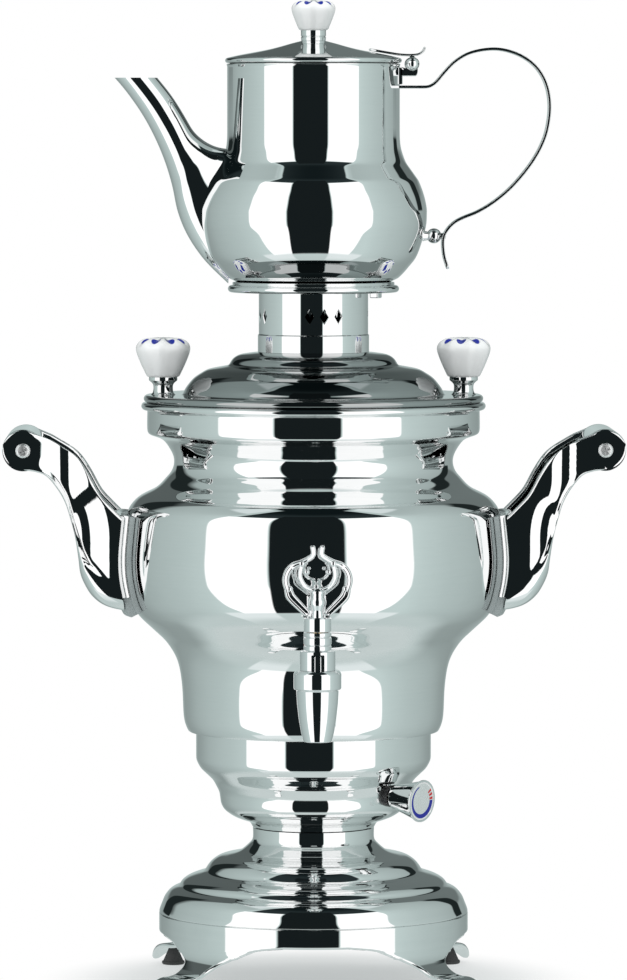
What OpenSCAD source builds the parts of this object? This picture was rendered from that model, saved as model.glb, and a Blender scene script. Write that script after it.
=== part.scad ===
// Electric samovar with a lift-off lid, a teapot stand and a teapot.
// Millimetres, +Z up. The origin is on the tank's axis at floor level, and the tap faces -Y.

/* [Fits] */
// Gap round pieces that lift off or swing
lift_gap = 0.4; // [0.3:0.05:0.6]
// Radial gap round shafts and plugs that turn
turn_gap = 0.06; // [0.03:0.01:0.1]
// Gap between curved pieces of one assembly
seat_gap = 0.1; // [0.05:0.05:0.2]
// Thickness of the spun sheet
sheet = 0.8; // [0.6:0.1:1.2]

/* [Feet] */
// Height of the skirt's lower edge above the floor
skirt_clear = 30; // [26:0.5:36]
// Height of the skirt between two legs
skirt_h = 8.5; // [7:0.5:14]
// Outer radius of the skirt
skirt_r = 82.8; // [78:0.2:88]
// Thickness of the cast skirt and legs
casting_t = 2.5; // [2:0.1:3.5]
// Radius of the circle that the glides stand on
glide_circle_r = 107; // [102:0.5:112]
// Height of the toe's tip above the floor
toe_rise = 3; // [2:0.5:4.5]
// Length of the toe beyond the glide's centre
toe_reach = 15; // [12:0.5:20]
// Largest radius of a glide
glide_r = 6.2; // [5:0.1:7]

/* [Base and pedestal] */
// Height of the stepped dome
dome_h = 45.5; // [40:0.5:52]
// Radius of the pedestal's neck
neck_r = 32.5; // [28:0.5:37]
// Radius of the pedestal's cup
cup_r = 50; // [46:0.5:54]
// Height from the neck to the cup
cup_h = 16; // [14:0.5:20]
// Height from the cup to the drum
drum_rise = 21; // [18:0.5:26]
// Radius of the drum under the tank
drum_r = 62.9; // [60:0.2:66]
// Straight height of the drum
drum_h = 15; // [12:0.5:20]

/* [Tank] */
// Radius of the tank at its foot
sill_r = 67; // [65:0.2:69]
// Radius of the belly
belly_r = 101.6; // [97:0.2:106]
// Height of the belly's widest place above the tank's foot
belly_h = 93.5; // [88:0.5:100]
// Radius of the throat above the belly
throat_r = 74.4; // [70:0.2:78]
// Height of the throat above the belly's widest place
throat_h = 51; // [47:0.5:56]
// Radius of the plain band
band_r = 88.8; // [86:0.2:92]
// Height from the throat to the band
flare_h = 15.5; // [13:0.5:19]
// Height of the plain band
band_h = 12; // [9:0.5:16]
// Height of the rim bead on the tank
bead_h = 4; // [3:0.5:6]
// How far the rim bead stands out from the band
bead_out = 3.2; // [2:0.2:4]

/* [Main lid] */
// Radius of the lid's rim
lid_r = 90.7; // [89:0.1:92]
// Thickness of the lid's rim
lid_rim_h = 4; // [3:0.5:6]
// Radius at which the flat rim meets the raised middle
lid_flat_r = 70; // [66:0.5:73]
// Height of the raised middle
lid_rise = 22.7; // [19:0.1:28]
// Depth of the flange that enters the tank
lid_flange_h = 6; // [4:0.5:9]
// Distance of the two knobs from the axis
lid_knob_reach = 80.3; // [78:0.1:82]
// Height of a knob's ferrule
ferrule_h = 9.6; // [8:0.2:12]
// Height of a side knob
side_knob_h = 21; // [18:0.5:24]
// Largest radius of a side knob
side_knob_r = 14.5; // [12:0.1:16]

/* [Teapot stand] */
// Outer radius of the collar
collar_r = 29.2; // [27:0.2:32]
// Thickness of the collar's wall
collar_t = 1; // [0.8:0.1:1.4]
// Height of the collar
collar_h = 32; // [28:0.5:38]
// Height of a diamond opening
diamond_h = 8.6; // [6:0.2:10]
// Width of a diamond opening
diamond_w = 5.3; // [4:0.1:6]
// Angle between neighbouring diamonds of one group
diamond_pitch = 15.7; // [14:0.1:18]
// Angle by which the groups are turned from the tap
diamond_turn = 10.6; // [0:0.1:30]
// Outer radius of the tray ring's bead
tray_r = 45.7; // [44:0.1:48]
// Height of the tray ring's wall above its floor
tray_h = 5.2; // [4:0.1:7]

/* [Teapot] */
// Radius of the teapot's foot
pot_foot_r = 40.6; // [38:0.1:41.4]
// Radius of the teapot's belly
pot_belly_r = 60.5; // [57:0.5:64]
// Radius of the teapot's neck
pot_neck_r = 46; // [44:0.1:48]
// Height of the belly above the foot
pot_belly_h = 41; // [37:0.5:46]
// Height from the belly to the neck
pot_shoulder_h = 41; // [37:0.5:46]
// Height of the plain neck
pot_neck_h = 38.5; // [34:0.5:44]
// Radius of the spout at its mouth
spout_r = 9.2; // [8:0.1:10.5]
// Width of the handle strip
strip_w = 12; // [9:0.5:15]
// Thickness of the handle strip
strip_t = 1.8; // [1.4:0.1:2.4]
// Radius of the ball that stands the handle off
ball_r = 4; // [3:0.1:4.6]

/* [Teapot lid] */
// How far the lid's rim stands out from the neck
pot_lid_out = 1.1; // [0.6:0.1:2]
// Thickness of the lid's rim
pot_lid_rim_h = 2.8; // [2:0.1:4]
// Height of the lid's cone
pot_lid_rise = 9; // [7:0.5:12]
// Depth of the flange that enters the neck
pot_lid_flange_h = 4; // [3:0.5:6]
// Distance of the hinge axis from the neck
hinge_out = 6.5; // [6:0.1:8]
// Radius of the hinge pin
hinge_pin_r = 1.5; // [1.2:0.1:1.8]
// Radius of the balls on the hinge pin
hinge_ball_r = 3.7; // [3:0.1:4]
// Width of the lid's knuckle
knuckle_w = 9; // [7:0.5:12]
// Height of the teapot knob
pot_knob_h = 16; // [14:0.5:19]
// Largest radius of the teapot knob
pot_knob_r = 11.7; // [10:0.1:13]

/* [Tap] */
// Height of the tap's shank above the tank's foot
tap_h = 54.5; // [52:0.5:58]
// Outer radius of the tap's shank
shank_r = 5; // [4.5:0.1:5.6]
// Radius of the water way
water_r = 3; // [2.5:0.1:3.2]
// Half the width of the key
key_reach = 18.5; // [16:0.5:20]
// Gap between the turned key and the belly
key_clear = 1.4; // [1:0.1:3]
// Height of the key above its cap
key_h = 37.5; // [33:0.5:42]
// Thickness of the key
key_t = 4; // [3:0.2:5]
// Radius of the barrel's lower half
barrel_r = 9.3; // [8.4:0.1:9.8]
// Largest radius of the nozzle
nozzle_r = 12.4; // [11:0.1:14]
// Radius of the nozzle's outlet
outlet_r = 6; // [5:0.1:6.5]
// Length of the nozzle
nozzle_l = 37; // [32:0.5:40]

/* [Side handles] */
// Half the depth of a handle, from its middle to a plate's outer face
handle_half = 32; // [28:0.5:36]
// Thickness of a side plate
plate_t = 3; // [2.4:0.1:4]
// Radius of the grip bar
grip_r = 11.1; // [10:0.1:12]
// Distance of the grip bar's axis beyond the belly
grip_out = 52.8; // [48:0.2:56]
// Height of the grip bar's axis above the belly's widest place
grip_up = 58.1; // [54:0.2:62]
// Thickness of the heat-insulating pad
pad_t = 3; // [2:0.1:4]
// Thickness of the bracket's flange
flange_t = 5.2; // [4:0.1:6.5]

/* [Thermostat] */
// Angle of the thermostat knob from the tap
dial_turn = 51; // [40:1:60]
// Downward tilt of the thermostat knob
dial_tilt = 4; // [0:0.5:8]
// Length of the thermostat knob
dial_l = 18.8; // [16:0.2:22]
// Radius of the thermostat knob's face
dial_r = 11.3; // [10:0.1:13]
// Radius of the thermostat's shaft
dial_shaft_r = 3; // [2.5:0.1:3.5]

/* [Heating] */
// Radius of the heating ring
heater_ring_r = 38; // [34:0.5:42]
// Radius of the heater's tube
heater_tube_r = 3.5; // [3:0.1:4]
// Height of the heating ring above the tank's floor
heater_up = 12; // [9:0.5:16]
// Width of the mains inlet
inlet_w = 30; // [28:0.5:33]
// Height of the mains inlet
inlet_h = 22; // [20:0.5:23]

/* [Hidden] */

$fn = 64;
far = 400;
overcut = 1;

// Levels from the floor up
dome_z = skirt_clear + skirt_h;
neck_z = dome_z + dome_h;
cup_z = neck_z + cup_h;
drum_z = cup_z + drum_rise;
tank_z = drum_z + drum_h;
belly_z = tank_z + belly_h;
throat_z = belly_z + throat_h;
band_z = throat_z + flare_h;
bead_z = band_z + band_h;
lid_z = bead_z + bead_h;
collar_z = lid_z + lid_rim_h + lid_rise;
tray_z = collar_z + collar_h;
tray_floor_t = 1.2;
pot_z = tray_z + tray_floor_t;
pot_belly_z = pot_z + pot_belly_h;
pot_neck_z = pot_belly_z + pot_shoulder_h;
pot_rim_z = pot_neck_z + pot_neck_h;

// ---- Outlines ----

function unit(v) = v / norm(v);

// A point on a smooth curve through four neighbours
function spline(a, b, c, d, t) = ((2 * b) + (c - a) * t + (2 * a - 5 * b + 4 * c - d) * t * t
    + (3 * b - a - 3 * c + d) * t * t * t) / 2;

// A smooth curve through a few points
function smooth(p, steps = 4) = let (last = len(p) - 1) concat(
    [for (i = [0:last - 1]) for (j = [0:steps - 1])
        spline(p[max(i - 1, 0)], p[i], p[i + 1], p[min(i + 2, last)], j / steps)],
    [p[last]]);

// Shares of a rise from one radius and level to another, made real
function rise(shares, r0, r1, z0, z1) =
    [for (s = shares) [r0 + (r1 - r0) * s[0], z0 + (z1 - z0) * s[1]]];

// The left-hand normal of a polyline at one of its points
function normal_at(p, i) = let (t = unit(p[min(i + 1, len(p) - 1)] - p[max(i - 1, 0)])) [-t[1], t[0]];

// The same line moved to its left
function beside(p, gap) = [for (i = [0:len(p) - 1]) p[i] + gap * normal_at(p, i)];

function reversed(p) = [for (i = [len(p) - 1:-1:0]) p[i]];

// The closed outline of a wall on the left of a line
function wall(p, t) = concat(p, reversed(beside(p, t)));

// The closed outline of a strip whose points are [x, z, width]
function strip(p) = let (mid = [for (q = p) [q[0], q[1]]])
    concat([for (i = [0:len(p) - 1]) mid[i] + p[i][2] / 2 * normal_at(mid, i)],
        [for (i = [len(p) - 1:-1:0]) mid[i] - p[i][2] / 2 * normal_at(mid, i)]);

// Radius of a rising outline at a level
function radius_at(p, z) = lookup(z, [for (q = p) [q[1], q[0]]]);

function arc(x, z, r, a0, a1, steps = 8) =
    [for (i = [0:steps]) let (a = a0 + (a1 - a0) * i / steps) [x + r * cos(a), z + r * sin(a)]];

module spun(p, fn = 96) rotate_extrude($fn = fn) polygon(p);

// An XZ outline with its thickness along Y
module upright(p, from_y, to_y) translate([0, to_y, 0]) rotate([90, 0, 0])
    linear_extrude(to_y - from_y) polygon(p);

module around(angles) for (a = angles) rotate([0, 0, a]) children();

// Level plate with round corners
module plate(w, d, h, r) linear_extrude(h) union() {
    square([w - 2 * r, d], center = true);
    square([w, d - 2 * r], center = true);
    for (x = [-1, 1], y = [-1, 1]) translate([x * (w / 2 - r), y * (d / 2 - r)]) circle(r);
}

// ---- Foot ring ----

leg_angles = [45:90:315];
skirt_drop = 7.4;
leg_top_z = skirt_clear - skirt_drop;
toe_r = glide_circle_r + toe_reach;
toe_lift = toe_rise + 9.3;
leg_run = glide_circle_r - skirt_r;

// The leg's outer face, from the skirt out to the toe's tip
leg_line = smooth([[skirt_r, leg_top_z + 3], [skirt_r + leg_run * 0.041, leg_top_z - 0.6],
    [skirt_r + leg_run * 0.132, leg_top_z - 3.6], [skirt_r + leg_run * 0.31, leg_top_z - 6.6],
    [skirt_r + leg_run * 0.537, toe_lift + 0.9], [skirt_r + leg_run * 0.752, toe_lift],
    [glide_circle_r, toe_lift - 0.1], [glide_circle_r + toe_reach * 0.37, toe_lift - 1.7],
    [glide_circle_r + toe_reach * 0.73, toe_lift - 5.3], [toe_r, toe_rise]], 3);
// Half of the leg's plan, from inside the skirt to the tip
leg_side = smooth([[skirt_r - 12, 22], [skirt_r, 21.8], [skirt_r + leg_run * 0.066, 17.5],
    [skirt_r + leg_run * 0.157, 13.6], [skirt_r + leg_run * 0.351, 11.2], [skirt_r + leg_run * 0.62, 10],
    [glide_circle_r, 8.8], [glide_circle_r + toe_reach * 0.333, 8.2], [toe_r - toe_reach * 0.333, 6],
    [toe_r - toe_reach * 0.067, 3], [toe_r, 1]], 3);

module legs() intersection() {
    spun(wall(leg_line, -casting_t));
    linear_extrude(far) around(leg_angles)
        polygon(concat(leg_side, reversed([for (p = leg_side) [p[0], -p[1]]])));
}

// Half of the skirt's lower edge between two legs, as [sideways, level]
scallop_half = skirt_r * 0.507;
scallop_edge = smooth([[scallop_half * 0.405, skirt_clear], [scallop_half * 0.59, skirt_clear - 1.6],
    [scallop_half * 0.721, skirt_clear - 4.8], [scallop_half * 0.821, skirt_clear - 6.6],
    [scallop_half, skirt_clear - skirt_drop]], 3);

module scallop() upright(concat(scallop_edge, [[scallop_half, 0], [-scallop_half, 0]],
    reversed([for (p = scallop_edge) [-p[0], p[1]]])), -far, far);

ear_t = 3;
ear_w = 10;
plate_rest_z = dome_z - 6;

module foot_ring() color("gainsboro") {
    difference() {
        translate([0, 0, leg_top_z]) cylinder(h = dome_z - leg_top_z, r = skirt_r, $fn = 96);
        translate([0, 0, leg_top_z - overcut])
            cylinder(h = far, r = skirt_r - casting_t, $fn = 96);
        for (a = [0, 90]) rotate([0, 0, a]) scallop();
    }
    legs();
    // Ears that carry the base plate
    around(leg_angles) difference() {
        translate([skirt_r - casting_t - ear_w + 1, -ear_w / 2, plate_rest_z]) cube([ear_w, ear_w, ear_t]);
        translate([skirt_r - casting_t - base_screw_in, 0, plate_rest_z - overcut])
            cylinder(h = ear_t + 2 * overcut, r = base_screw_r + seat_gap / 2, $fn = 24);
    }
}

glide_foot_h = 1.8;
glide_top_z = toe_lift - casting_t;

module glides() color("dimgray") difference() {
    around(leg_angles) translate([glide_circle_r, 0, 0]) {
        cylinder(h = glide_foot_h, r = glide_r, $fn = 40);
        translate([0, 0, glide_foot_h])
            cylinder(h = glide_top_z - glide_foot_h, r1 = glide_r * 0.88, r2 = glide_r * 0.3, $fn = 40);
    }
    spun(wall(leg_line, -casting_t - seat_gap));
}

// ---- Base ----

base_screw_r = 1.5;
base_screw_in = 5;
plate_gap = 1;
base_plate_t = 1.5;

module base_plate() color("darkgray") difference() {
    translate([0, 0, plate_rest_z - base_plate_t])
        cylinder(h = base_plate_t, r = skirt_r - casting_t - plate_gap, $fn = 96);
    around(leg_angles) translate([skirt_r - casting_t - base_screw_in, 0, 0])
        cylinder(h = far, r = base_screw_r + seat_gap, $fn = 24);
    // Air slots
    around([0:30:330]) translate([skirt_r * 0.5, -2, 0]) cube([14, 4, far]);
}

module base_screws() color("silver") around(leg_angles)
    translate([skirt_r - casting_t - base_screw_in, 0, plate_rest_z - base_plate_t]) {
        translate([0, 0, -1.6]) cylinder(h = 1.6, r = 3, $fn = 32);
        cylinder(h = base_plate_t + 3, r = base_screw_r, $fn = 24);
    }

dome_shares = [[1, 0], [0.995, 0.07], [0.966, 0.14], [0.925, 0.215], [0.85, 0.285], [0.79, 0.35],
    [0.723, 0.43], [0.63, 0.475], [0.545, 0.51], [0.473, 0.575], [0.384, 0.65], [0.25, 0.69],
    [0.162, 0.72], [0.071, 0.79], [0.015, 0.86], [0, 0.93], [0, 1]];
dome_line = smooth(rise(dome_shares, neck_r, skirt_r, dome_z, neck_z), 3);
joint_hole_r = neck_r * 0.55;

module base_dome() color("gainsboro") difference() {
    spun(concat(dome_line, [[joint_hole_r, neck_z], [joint_hole_r, neck_z - sheet]],
        reversed([for (p = beside(dome_line, sheet)) if (p[1] < neck_z - sheet) p])));
}

module neck_bush() color("silver") difference() {
    union() {
        translate([0, 0, neck_z - sheet - 4]) cylinder(h = 4, r = joint_hole_r + 5, $fn = 48);
        translate([0, 0, neck_z - sheet - 4]) cylinder(h = 10 + 2 * sheet, r = joint_hole_r - seat_gap);
        translate([0, 0, neck_z + sheet]) cylinder(h = 2, r = joint_hole_r + 4, $fn = 48);
    }
    cylinder(h = far, r = joint_hole_r - 3);
}

// ---- Pedestal ----

cup_shares = [[0, 0], [0.114, 0.2], [0.374, 0.3], [0.617, 0.41], [0.863, 0.6], [0.971, 0.8]];
drum_shares = [[0, 0], [0.047, 0.157], [0.17, 0.31], [0.31, 0.462], [0.558, 0.614], [0.814, 0.767],
    [0.953, 0.919], [1, 1]];
pedestal_line = concat(smooth(concat(rise(cup_shares, neck_r, cup_r, neck_z, cup_z),
    rise(drum_shares, cup_r, drum_r, cup_z, drum_z)), 3), [[drum_r, tank_z]]);
drum_flange = 9;
stud_in = 5;
stud_r = 2;
stud_angles = [10:90:280];

module pedestal() color("gainsboro") difference() {
    spun(concat([[joint_hole_r, neck_z]], pedestal_line, [[drum_r - drum_flange, tank_z],
        [drum_r - drum_flange, tank_z - sheet], [drum_r - sheet, tank_z - sheet]],
        reversed([for (p = beside(pedestal_line, sheet))
            if (p[1] < tank_z - sheet && p[1] > neck_z + sheet) p]),
        [[neck_r - sheet, neck_z + sheet], [joint_hole_r, neck_z + sheet]]));
    at_dial() cylinder(h = far, r = bush_r + seat_gap);
    inlet_place() translate([0, 0, -inlet_depth])
        plate(inlet_w + 2 * seat_gap, inlet_h + 2 * seat_gap, inlet_depth + far, 2);
    around(stud_angles) translate([drum_r - stud_in, 0, drum_z])
        cylinder(h = far, r = stud_r + seat_gap, $fn = 24);
}

module drum_studs() color("silver") around(stud_angles) translate([drum_r - stud_in, 0, tank_z]) {
    translate([0, 0, -8]) cylinder(h = 8, r = stud_r, $fn = 24);
    translate([0, 0, -sheet - 3]) cylinder(h = 3, r = 3.5, $fn = 6);
}

// ---- Thermostat ----

dial_z = cup_z + 4;
bush_r = 5;
bush_wall = 0.9;
bush_out = 0.56;
dial_wall_r = radius_at(pedestal_line, dial_z);
// The collar stands out past the pedestal's flare above it
bush_proud = radius_at(pedestal_line, dial_z + bush_r + seat_gap) - dial_wall_r
    - (bush_r + seat_gap) * sin(dial_tilt) + bush_out;
thermostat_w = 18;
thermostat_d = 18;
thermostat_set = 6;
dial_gap = 0.5;
dial_start = dial_wall_r + bush_proud + dial_gap;

// The frame of the thermostat's axis: +Z runs outwards along the shaft
module at_dial() translate([0, 0, dial_z]) rotate([0, 0, dial_turn - 90]) translate([dial_wall_r, 0, 0])
    rotate([0, 90 + dial_tilt, 0]) translate([0, 0, -dial_wall_r]) children();

module thermostat() color("ivory") difference() {
    at_dial() {
        translate([0, 0, dial_wall_r - thermostat_set - thermostat_d])
            plate(thermostat_w, thermostat_w, thermostat_d, 3);
        translate([0, 0, dial_wall_r - thermostat_set]) cylinder(h = thermostat_set + 0.4, r = bush_r);
    }
    at_dial() translate([0, 0, dial_wall_r - thermostat_set - thermostat_d + 6])
        cylinder(h = far, r = dial_shaft_r + turn_gap);
}

module thermostat_nut() color("black") difference() {
    at_dial() translate([0, 0, dial_wall_r - 0.2]) cylinder(h = bush_proud + 0.2, r = bush_r + bush_wall);
    at_dial() cylinder(h = far, r = bush_r + seat_gap);
    spun(concat([[0, neck_z]], beside(pedestal_line, -seat_gap), [[0, tank_z]]));
}

shaft_back = dial_wall_r - thermostat_set - thermostat_d + 6.5;
shaft_in_knob = 12;

module dial_shaft() color("silver") at_dial() translate([0, 0, shaft_back])
    cylinder(h = dial_start + shaft_in_knob - shaft_back, r = dial_shaft_r);

module dial_knob() color("whitesmoke") at_dial() difference() {
    translate([0, 0, dial_start]) rotate_extrude($fn = 96) polygon(concat([[0, 0], [5.2, 0], [6.4, 1]],
        smooth([[6.8, 2.4], [8.2, dial_l * 0.45], [10.2, dial_l * 0.85], [dial_r - 0.4, dial_l - 0.9]], 3),
        [[dial_r, dial_l - 0.4], [dial_r - 0.3, dial_l], [0, dial_l]]));
    cylinder(h = dial_start + shaft_in_knob + 0.3, r = dial_shaft_r + 0.03);
}

// ---- Mains inlet ----

inlet_z = drum_z - 7;
inlet_depth = 26;
inlet_flange_t = 2;
inlet_face = drum_r + inlet_flange_t + seat_gap;
pin_w = 4;
pin_t = 2;
pin_rows = [[-7, -2.5], [7, -2.5], [0, 3]];

// The frame of the mains inlet at the back: +Z runs outwards
module inlet_place() translate([0, inlet_face - inlet_flange_t, inlet_z]) rotate([-90, 0, 0]) children();

module mains_inlet() color("black") inlet_place() difference() {
    union() {
        translate([0, 0, -inlet_depth]) plate(inlet_w, inlet_h, inlet_depth + inlet_flange_t, 2);
        plate(inlet_w + 6, inlet_h + 6, inlet_flange_t, 3);
    }
    translate([0, 0, -inlet_depth + 6]) plate(inlet_w - 5, inlet_h - 5, far, 1.5);
    for (p = pin_rows) translate([p[0], -p[1], -inlet_depth - overcut])
        translate([-pin_t / 2 - seat_gap, -pin_w / 2 - seat_gap, 0])
            cube([pin_t + 2 * seat_gap, pin_w + 2 * seat_gap, 9]);
}

module inlet_pins() color("goldenrod") inlet_place() for (p = pin_rows)
    translate([p[0] - pin_t / 2, -p[1] - pin_w / 2, -inlet_depth - 5]) cube([pin_t, pin_w, 25]);

// ---- Tank ----

lower_shares = [[0, 0], [0.04, 0.03], [0.075, 0.09], [0.1, 0.267], [0.17, 0.405], [0.33, 0.508],
    [0.515, 0.576], [0.717, 0.645], [0.8, 0.682], [0.9, 0.75], [0.978, 0.877], [1, 1]];
upper_shares = [[0.963, 0.263], [0.915, 0.477], [0.824, 0.562], [0.706, 0.625], [0.57, 0.667],
    [0.371, 0.718], [0.254, 0.77], [0.154, 0.833], [0.077, 0.875], [0.018, 0.938], [0, 1]];
flare_shares = [[0.035, 0.2], [0.146, 0.406], [0.29, 0.613], [0.479, 0.787], [0.89, 0.923], [1, 1]];
tank_line = smooth(concat(rise(lower_shares, sill_r, belly_r, tank_z, belly_z),
    rise(upper_shares, throat_r, belly_r, belly_z, throat_z),
    rise(flare_shares, throat_r, band_r, throat_z, band_z)), 3);
tank_inner = beside(tank_line, sheet);
bead_top = bead_h / 2;

// The tank is two spun halves that meet edge to edge at the belly's widest place
tank_seam = [[belly_r - sheet, belly_z]];

module tank_shell() color("gainsboro") difference() {
    spun(concat([[0, tank_z]], [for (p = tank_line) if (p[1] < belly_z - 0.4) p], [[belly_r, belly_z]],
        tank_seam, reversed([for (p = tank_inner) if (p[1] > tank_z + sheet && p[1] < belly_z - 0.4) p]),
        [[sill_r - sheet, tank_z + sheet], [0, tank_z + sheet]]));
    tap_axis() cylinder(h = far, r = boss_r + seat_gap);
    heater_legs() cylinder(h = far, r = heater_tube_r + seat_gap, $fn = 40);
    handle_bolts() cylinder(h = far, r = bolt_r + seat_gap, $fn = 32);
}

module tank_neck() color("gainsboro") difference() {
    spun(concat([[belly_r, belly_z]], [for (p = tank_line) if (p[1] > belly_z + 0.4) p],
        [[band_r, bead_z - 0.6]],
        arc(band_r + bead_out - bead_top, bead_z + bead_top, bead_top, -90, 90),
        [[band_r - sheet, lid_z]],
        reversed([for (p = tank_inner) if (p[1] > belly_z + 0.4) p]), tank_seam));
    handle_bolts() cylinder(h = far, r = bolt_r + seat_gap, $fn = 32);
}

// ---- Heating ----

leg_spread = 16;
heater_leg_down = 9;

module heater_legs() for (side = [-1, 1]) rotate([0, 0, 90 + side * leg_spread])
    translate([heater_ring_r, 0, tank_z - heater_leg_down]) children();

module heater_element() color("dimgray") {
    translate([0, 0, tank_z + sheet + heater_up]) rotate([0, 0, 90 + leg_spread])
        rotate_extrude(angle = 360 - 2 * leg_spread, $fn = 96)
            translate([heater_ring_r, 0]) circle(heater_tube_r, $fn = 32);
    heater_legs() cylinder(h = heater_leg_down + sheet + heater_up, r = heater_tube_r, $fn = 32);
    heater_legs() translate([0, 0, heater_leg_down + sheet + heater_up]) sphere(heater_tube_r, $fn = 32);
    heater_legs() translate([0, 0, heater_leg_down + sheet + seal_t]) cylinder(h = 2, r = seal_r, $fn = 40);
}

seal_r = 7;
seal_t = 1.5;

module heater_seals() color("firebrick") heater_legs() difference() {
    translate([0, 0, heater_leg_down + sheet]) cylinder(h = seal_t, r = seal_r, $fn = 40);
    cylinder(h = far, r = heater_tube_r + seat_gap, $fn = 40);
}

module heater_nuts() color("goldenrod") heater_legs() difference() {
    translate([0, 0, heater_leg_down - 4]) cylinder(h = 4, r = seal_r, $fn = 6);
    cylinder(h = far, r = heater_tube_r + seat_gap, $fn = 40);
}

module thermal_cutout() color("black") translate([0, 0, tank_z - 7]) {
    cylinder(h = 7, r = 8);
    for (x = [-1, 1]) translate([x * 5 - 1.5, -0.4, -7]) cube([3, 0.8, 7.5]);
}

// ---- Tap ----

boss_r = 6.8;
tap_z = tank_z + tap_h;
boss_face = radius_at(tank_line, tap_z + boss_r) + 2;
boss_back = radius_at(tank_inner, tap_z - boss_r) - 2.5;
washer_t = 1.5;
tap_flange_t = 2.5;
tap_reach = belly_r + key_reach + key_clear;
plug_gap = turn_gap;
plug_top_r = 5.2;
plug_bottom_r = 4.6;
barrel_low_z = tap_z - 12;
barrel_step_z = tap_z - 2;
barrel_top_z = tap_z + 7.7;
cap_z = barrel_top_z + 0.3;
cap_top_z = cap_z + 7.6;
stem_r = 3;
stem_h = 5;
cap_r = 7.2;
neck_bore_r = water_r + 0.6;
plug_bottom_z = tap_z - 9.5;

// The frame of the tap's shank: +Z runs out of the tank
module tap_axis() translate([0, 0, tap_z]) rotate([90, 0, 0]) children();

module tap_boss() color("silver") tap_axis() difference() {
    translate([0, 0, boss_back]) cylinder(h = boss_face - boss_back, r = boss_r);
    cylinder(h = far, r = shank_r + seat_gap);
}

module tap_washer() color("firebrick") tap_axis() difference() {
    translate([0, 0, boss_face]) cylinder(h = washer_t, r = boss_r);
    cylinder(h = far, r = shank_r + seat_gap);
}

module barrel_place() translate([0, -tap_reach, 0]) children();

notch_half = 3.4;

module tap_body() color("gainsboro") difference() {
    union() {
        tap_axis() translate([0, 0, boss_back - 9])
            cylinder(h = tap_reach - boss_back + 9 - plug_top_r, r = shank_r);
        tap_axis() translate([0, 0, boss_face + washer_t]) cylinder(h = tap_flange_t, r = boss_r);
        tap_axis() translate([0, 0, boss_face + washer_t])
            cylinder(h = tap_reach - boss_face - washer_t - 3, r = shank_r + 0.8);
        barrel_place() rotate_extrude($fn = 96) polygon([[0, barrel_low_z - 8], [6, barrel_low_z - 8],
            [6, barrel_low_z], [barrel_r, barrel_low_z], [barrel_r, barrel_step_z], [cap_r, barrel_step_z],
            [cap_r, tap_z - 0.6], [cap_r - 0.4, tap_z - 0.2], [cap_r, tap_z + 0.2], [cap_r, tap_z + 5],
            [cap_r - 0.4, tap_z + 5.4], [cap_r, tap_z + 5.8], [cap_r, barrel_top_z], [0, barrel_top_z]]);
    }
    // Taper seat, way down and way in
    barrel_place() translate([0, 0, plug_bottom_z - 0.3])
        cylinder(h = barrel_top_z - plug_bottom_z + 0.3,
            r1 = plug_bottom_r + plug_gap, r2 = plug_top_r + plug_gap);
    barrel_place() translate([0, 0, barrel_top_z]) cylinder(h = overcut, r = plug_top_r + plug_gap);
    barrel_place() translate([0, 0, barrel_low_z - 9]) cylinder(h = 20, r = neck_bore_r);
    tap_axis() translate([0, 0, boss_back - 10]) cylinder(h = tap_reach - boss_back + 10, r = water_r);
    // Locating notch at the front
    translate([-notch_half, -tap_reach - barrel_r - overcut, barrel_low_z - overcut])
        cube([2 * notch_half, 3 + overcut, barrel_step_z - barrel_low_z + overcut - 1.5]);
}

module tap_nut() color("goldenrod") tap_axis() difference() {
    translate([0, 0, boss_back - 5]) cylinder(h = 5, r = boss_r + 2.2, $fn = 6);
    cylinder(h = far, r = shank_r + seat_gap);
}

module tap_nozzle() color("gainsboro") barrel_place() difference() {
    union() {
        rotate_extrude($fn = 96) polygon([[0, barrel_low_z], [nozzle_r - 1.2, barrel_low_z],
            [nozzle_r - 1, barrel_low_z - 1.4], [nozzle_r, barrel_low_z - 1.8],
            [nozzle_r, barrel_low_z - 9.4], [nozzle_r - 1, barrel_low_z - 9.8],
            [nozzle_r - 1.4, barrel_low_z - 10.2], [outlet_r + 1.5, barrel_low_z - nozzle_l],
            [0, barrel_low_z - nozzle_l]]);
        // Tongue that sits in the notch
        translate([-1.8, -barrel_r + 0.2, barrel_low_z]) cube([3.6, 2, barrel_step_z - barrel_low_z - 2]);
    }
    translate([0, 0, barrel_low_z - 8.2]) cylinder(h = 8.2 + 0.01, r = 6 + seat_gap);
    translate([0, 0, barrel_low_z - nozzle_l - overcut])
        cylinder(h = nozzle_l - 12, r1 = outlet_r, r2 = outlet_r - 1);
    translate([0, 0, barrel_low_z - nozzle_l]) cylinder(h = nozzle_l, r = neck_bore_r);
}

module tap_plug() color("goldenrod") barrel_place() difference() {
    union() {
        translate([0, 0, plug_bottom_z])
            cylinder(h = barrel_top_z - plug_bottom_z, r1 = plug_bottom_r, r2 = plug_top_r);
        translate([0, 0, barrel_top_z]) cylinder(h = stem_h, r = stem_r);
    }
    translate([0, 0, plug_bottom_z - overcut]) cylinder(h = tap_z - plug_bottom_z + overcut, r = water_r);
    translate([0, 0, tap_z]) rotate([0, 90, 0]) cylinder(h = 10, r = water_r);
    translate([0, 0, tap_z]) sphere(water_r, $fn = 32);
}

// Left rail of the key as shares of [its reach, its height] and a width, from the tip to the root
key_rail = [[0.145, 0.99, 2.7], [0.115, 0.87, 2.6], [0.23, 0.813, 2.8], [0.37, 0.773, 3], [0.48, 0.75, 3],
    [0.675, 0.71, 3.4], [0.82, 0.632, 3.6], [0.885, 0.536, 3.6], [0.875, 0.456, 3.6], [0.82, 0.37, 3.6],
    [0.735, 0.26, 4.4], [0.235, 0.03, 4]];
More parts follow.
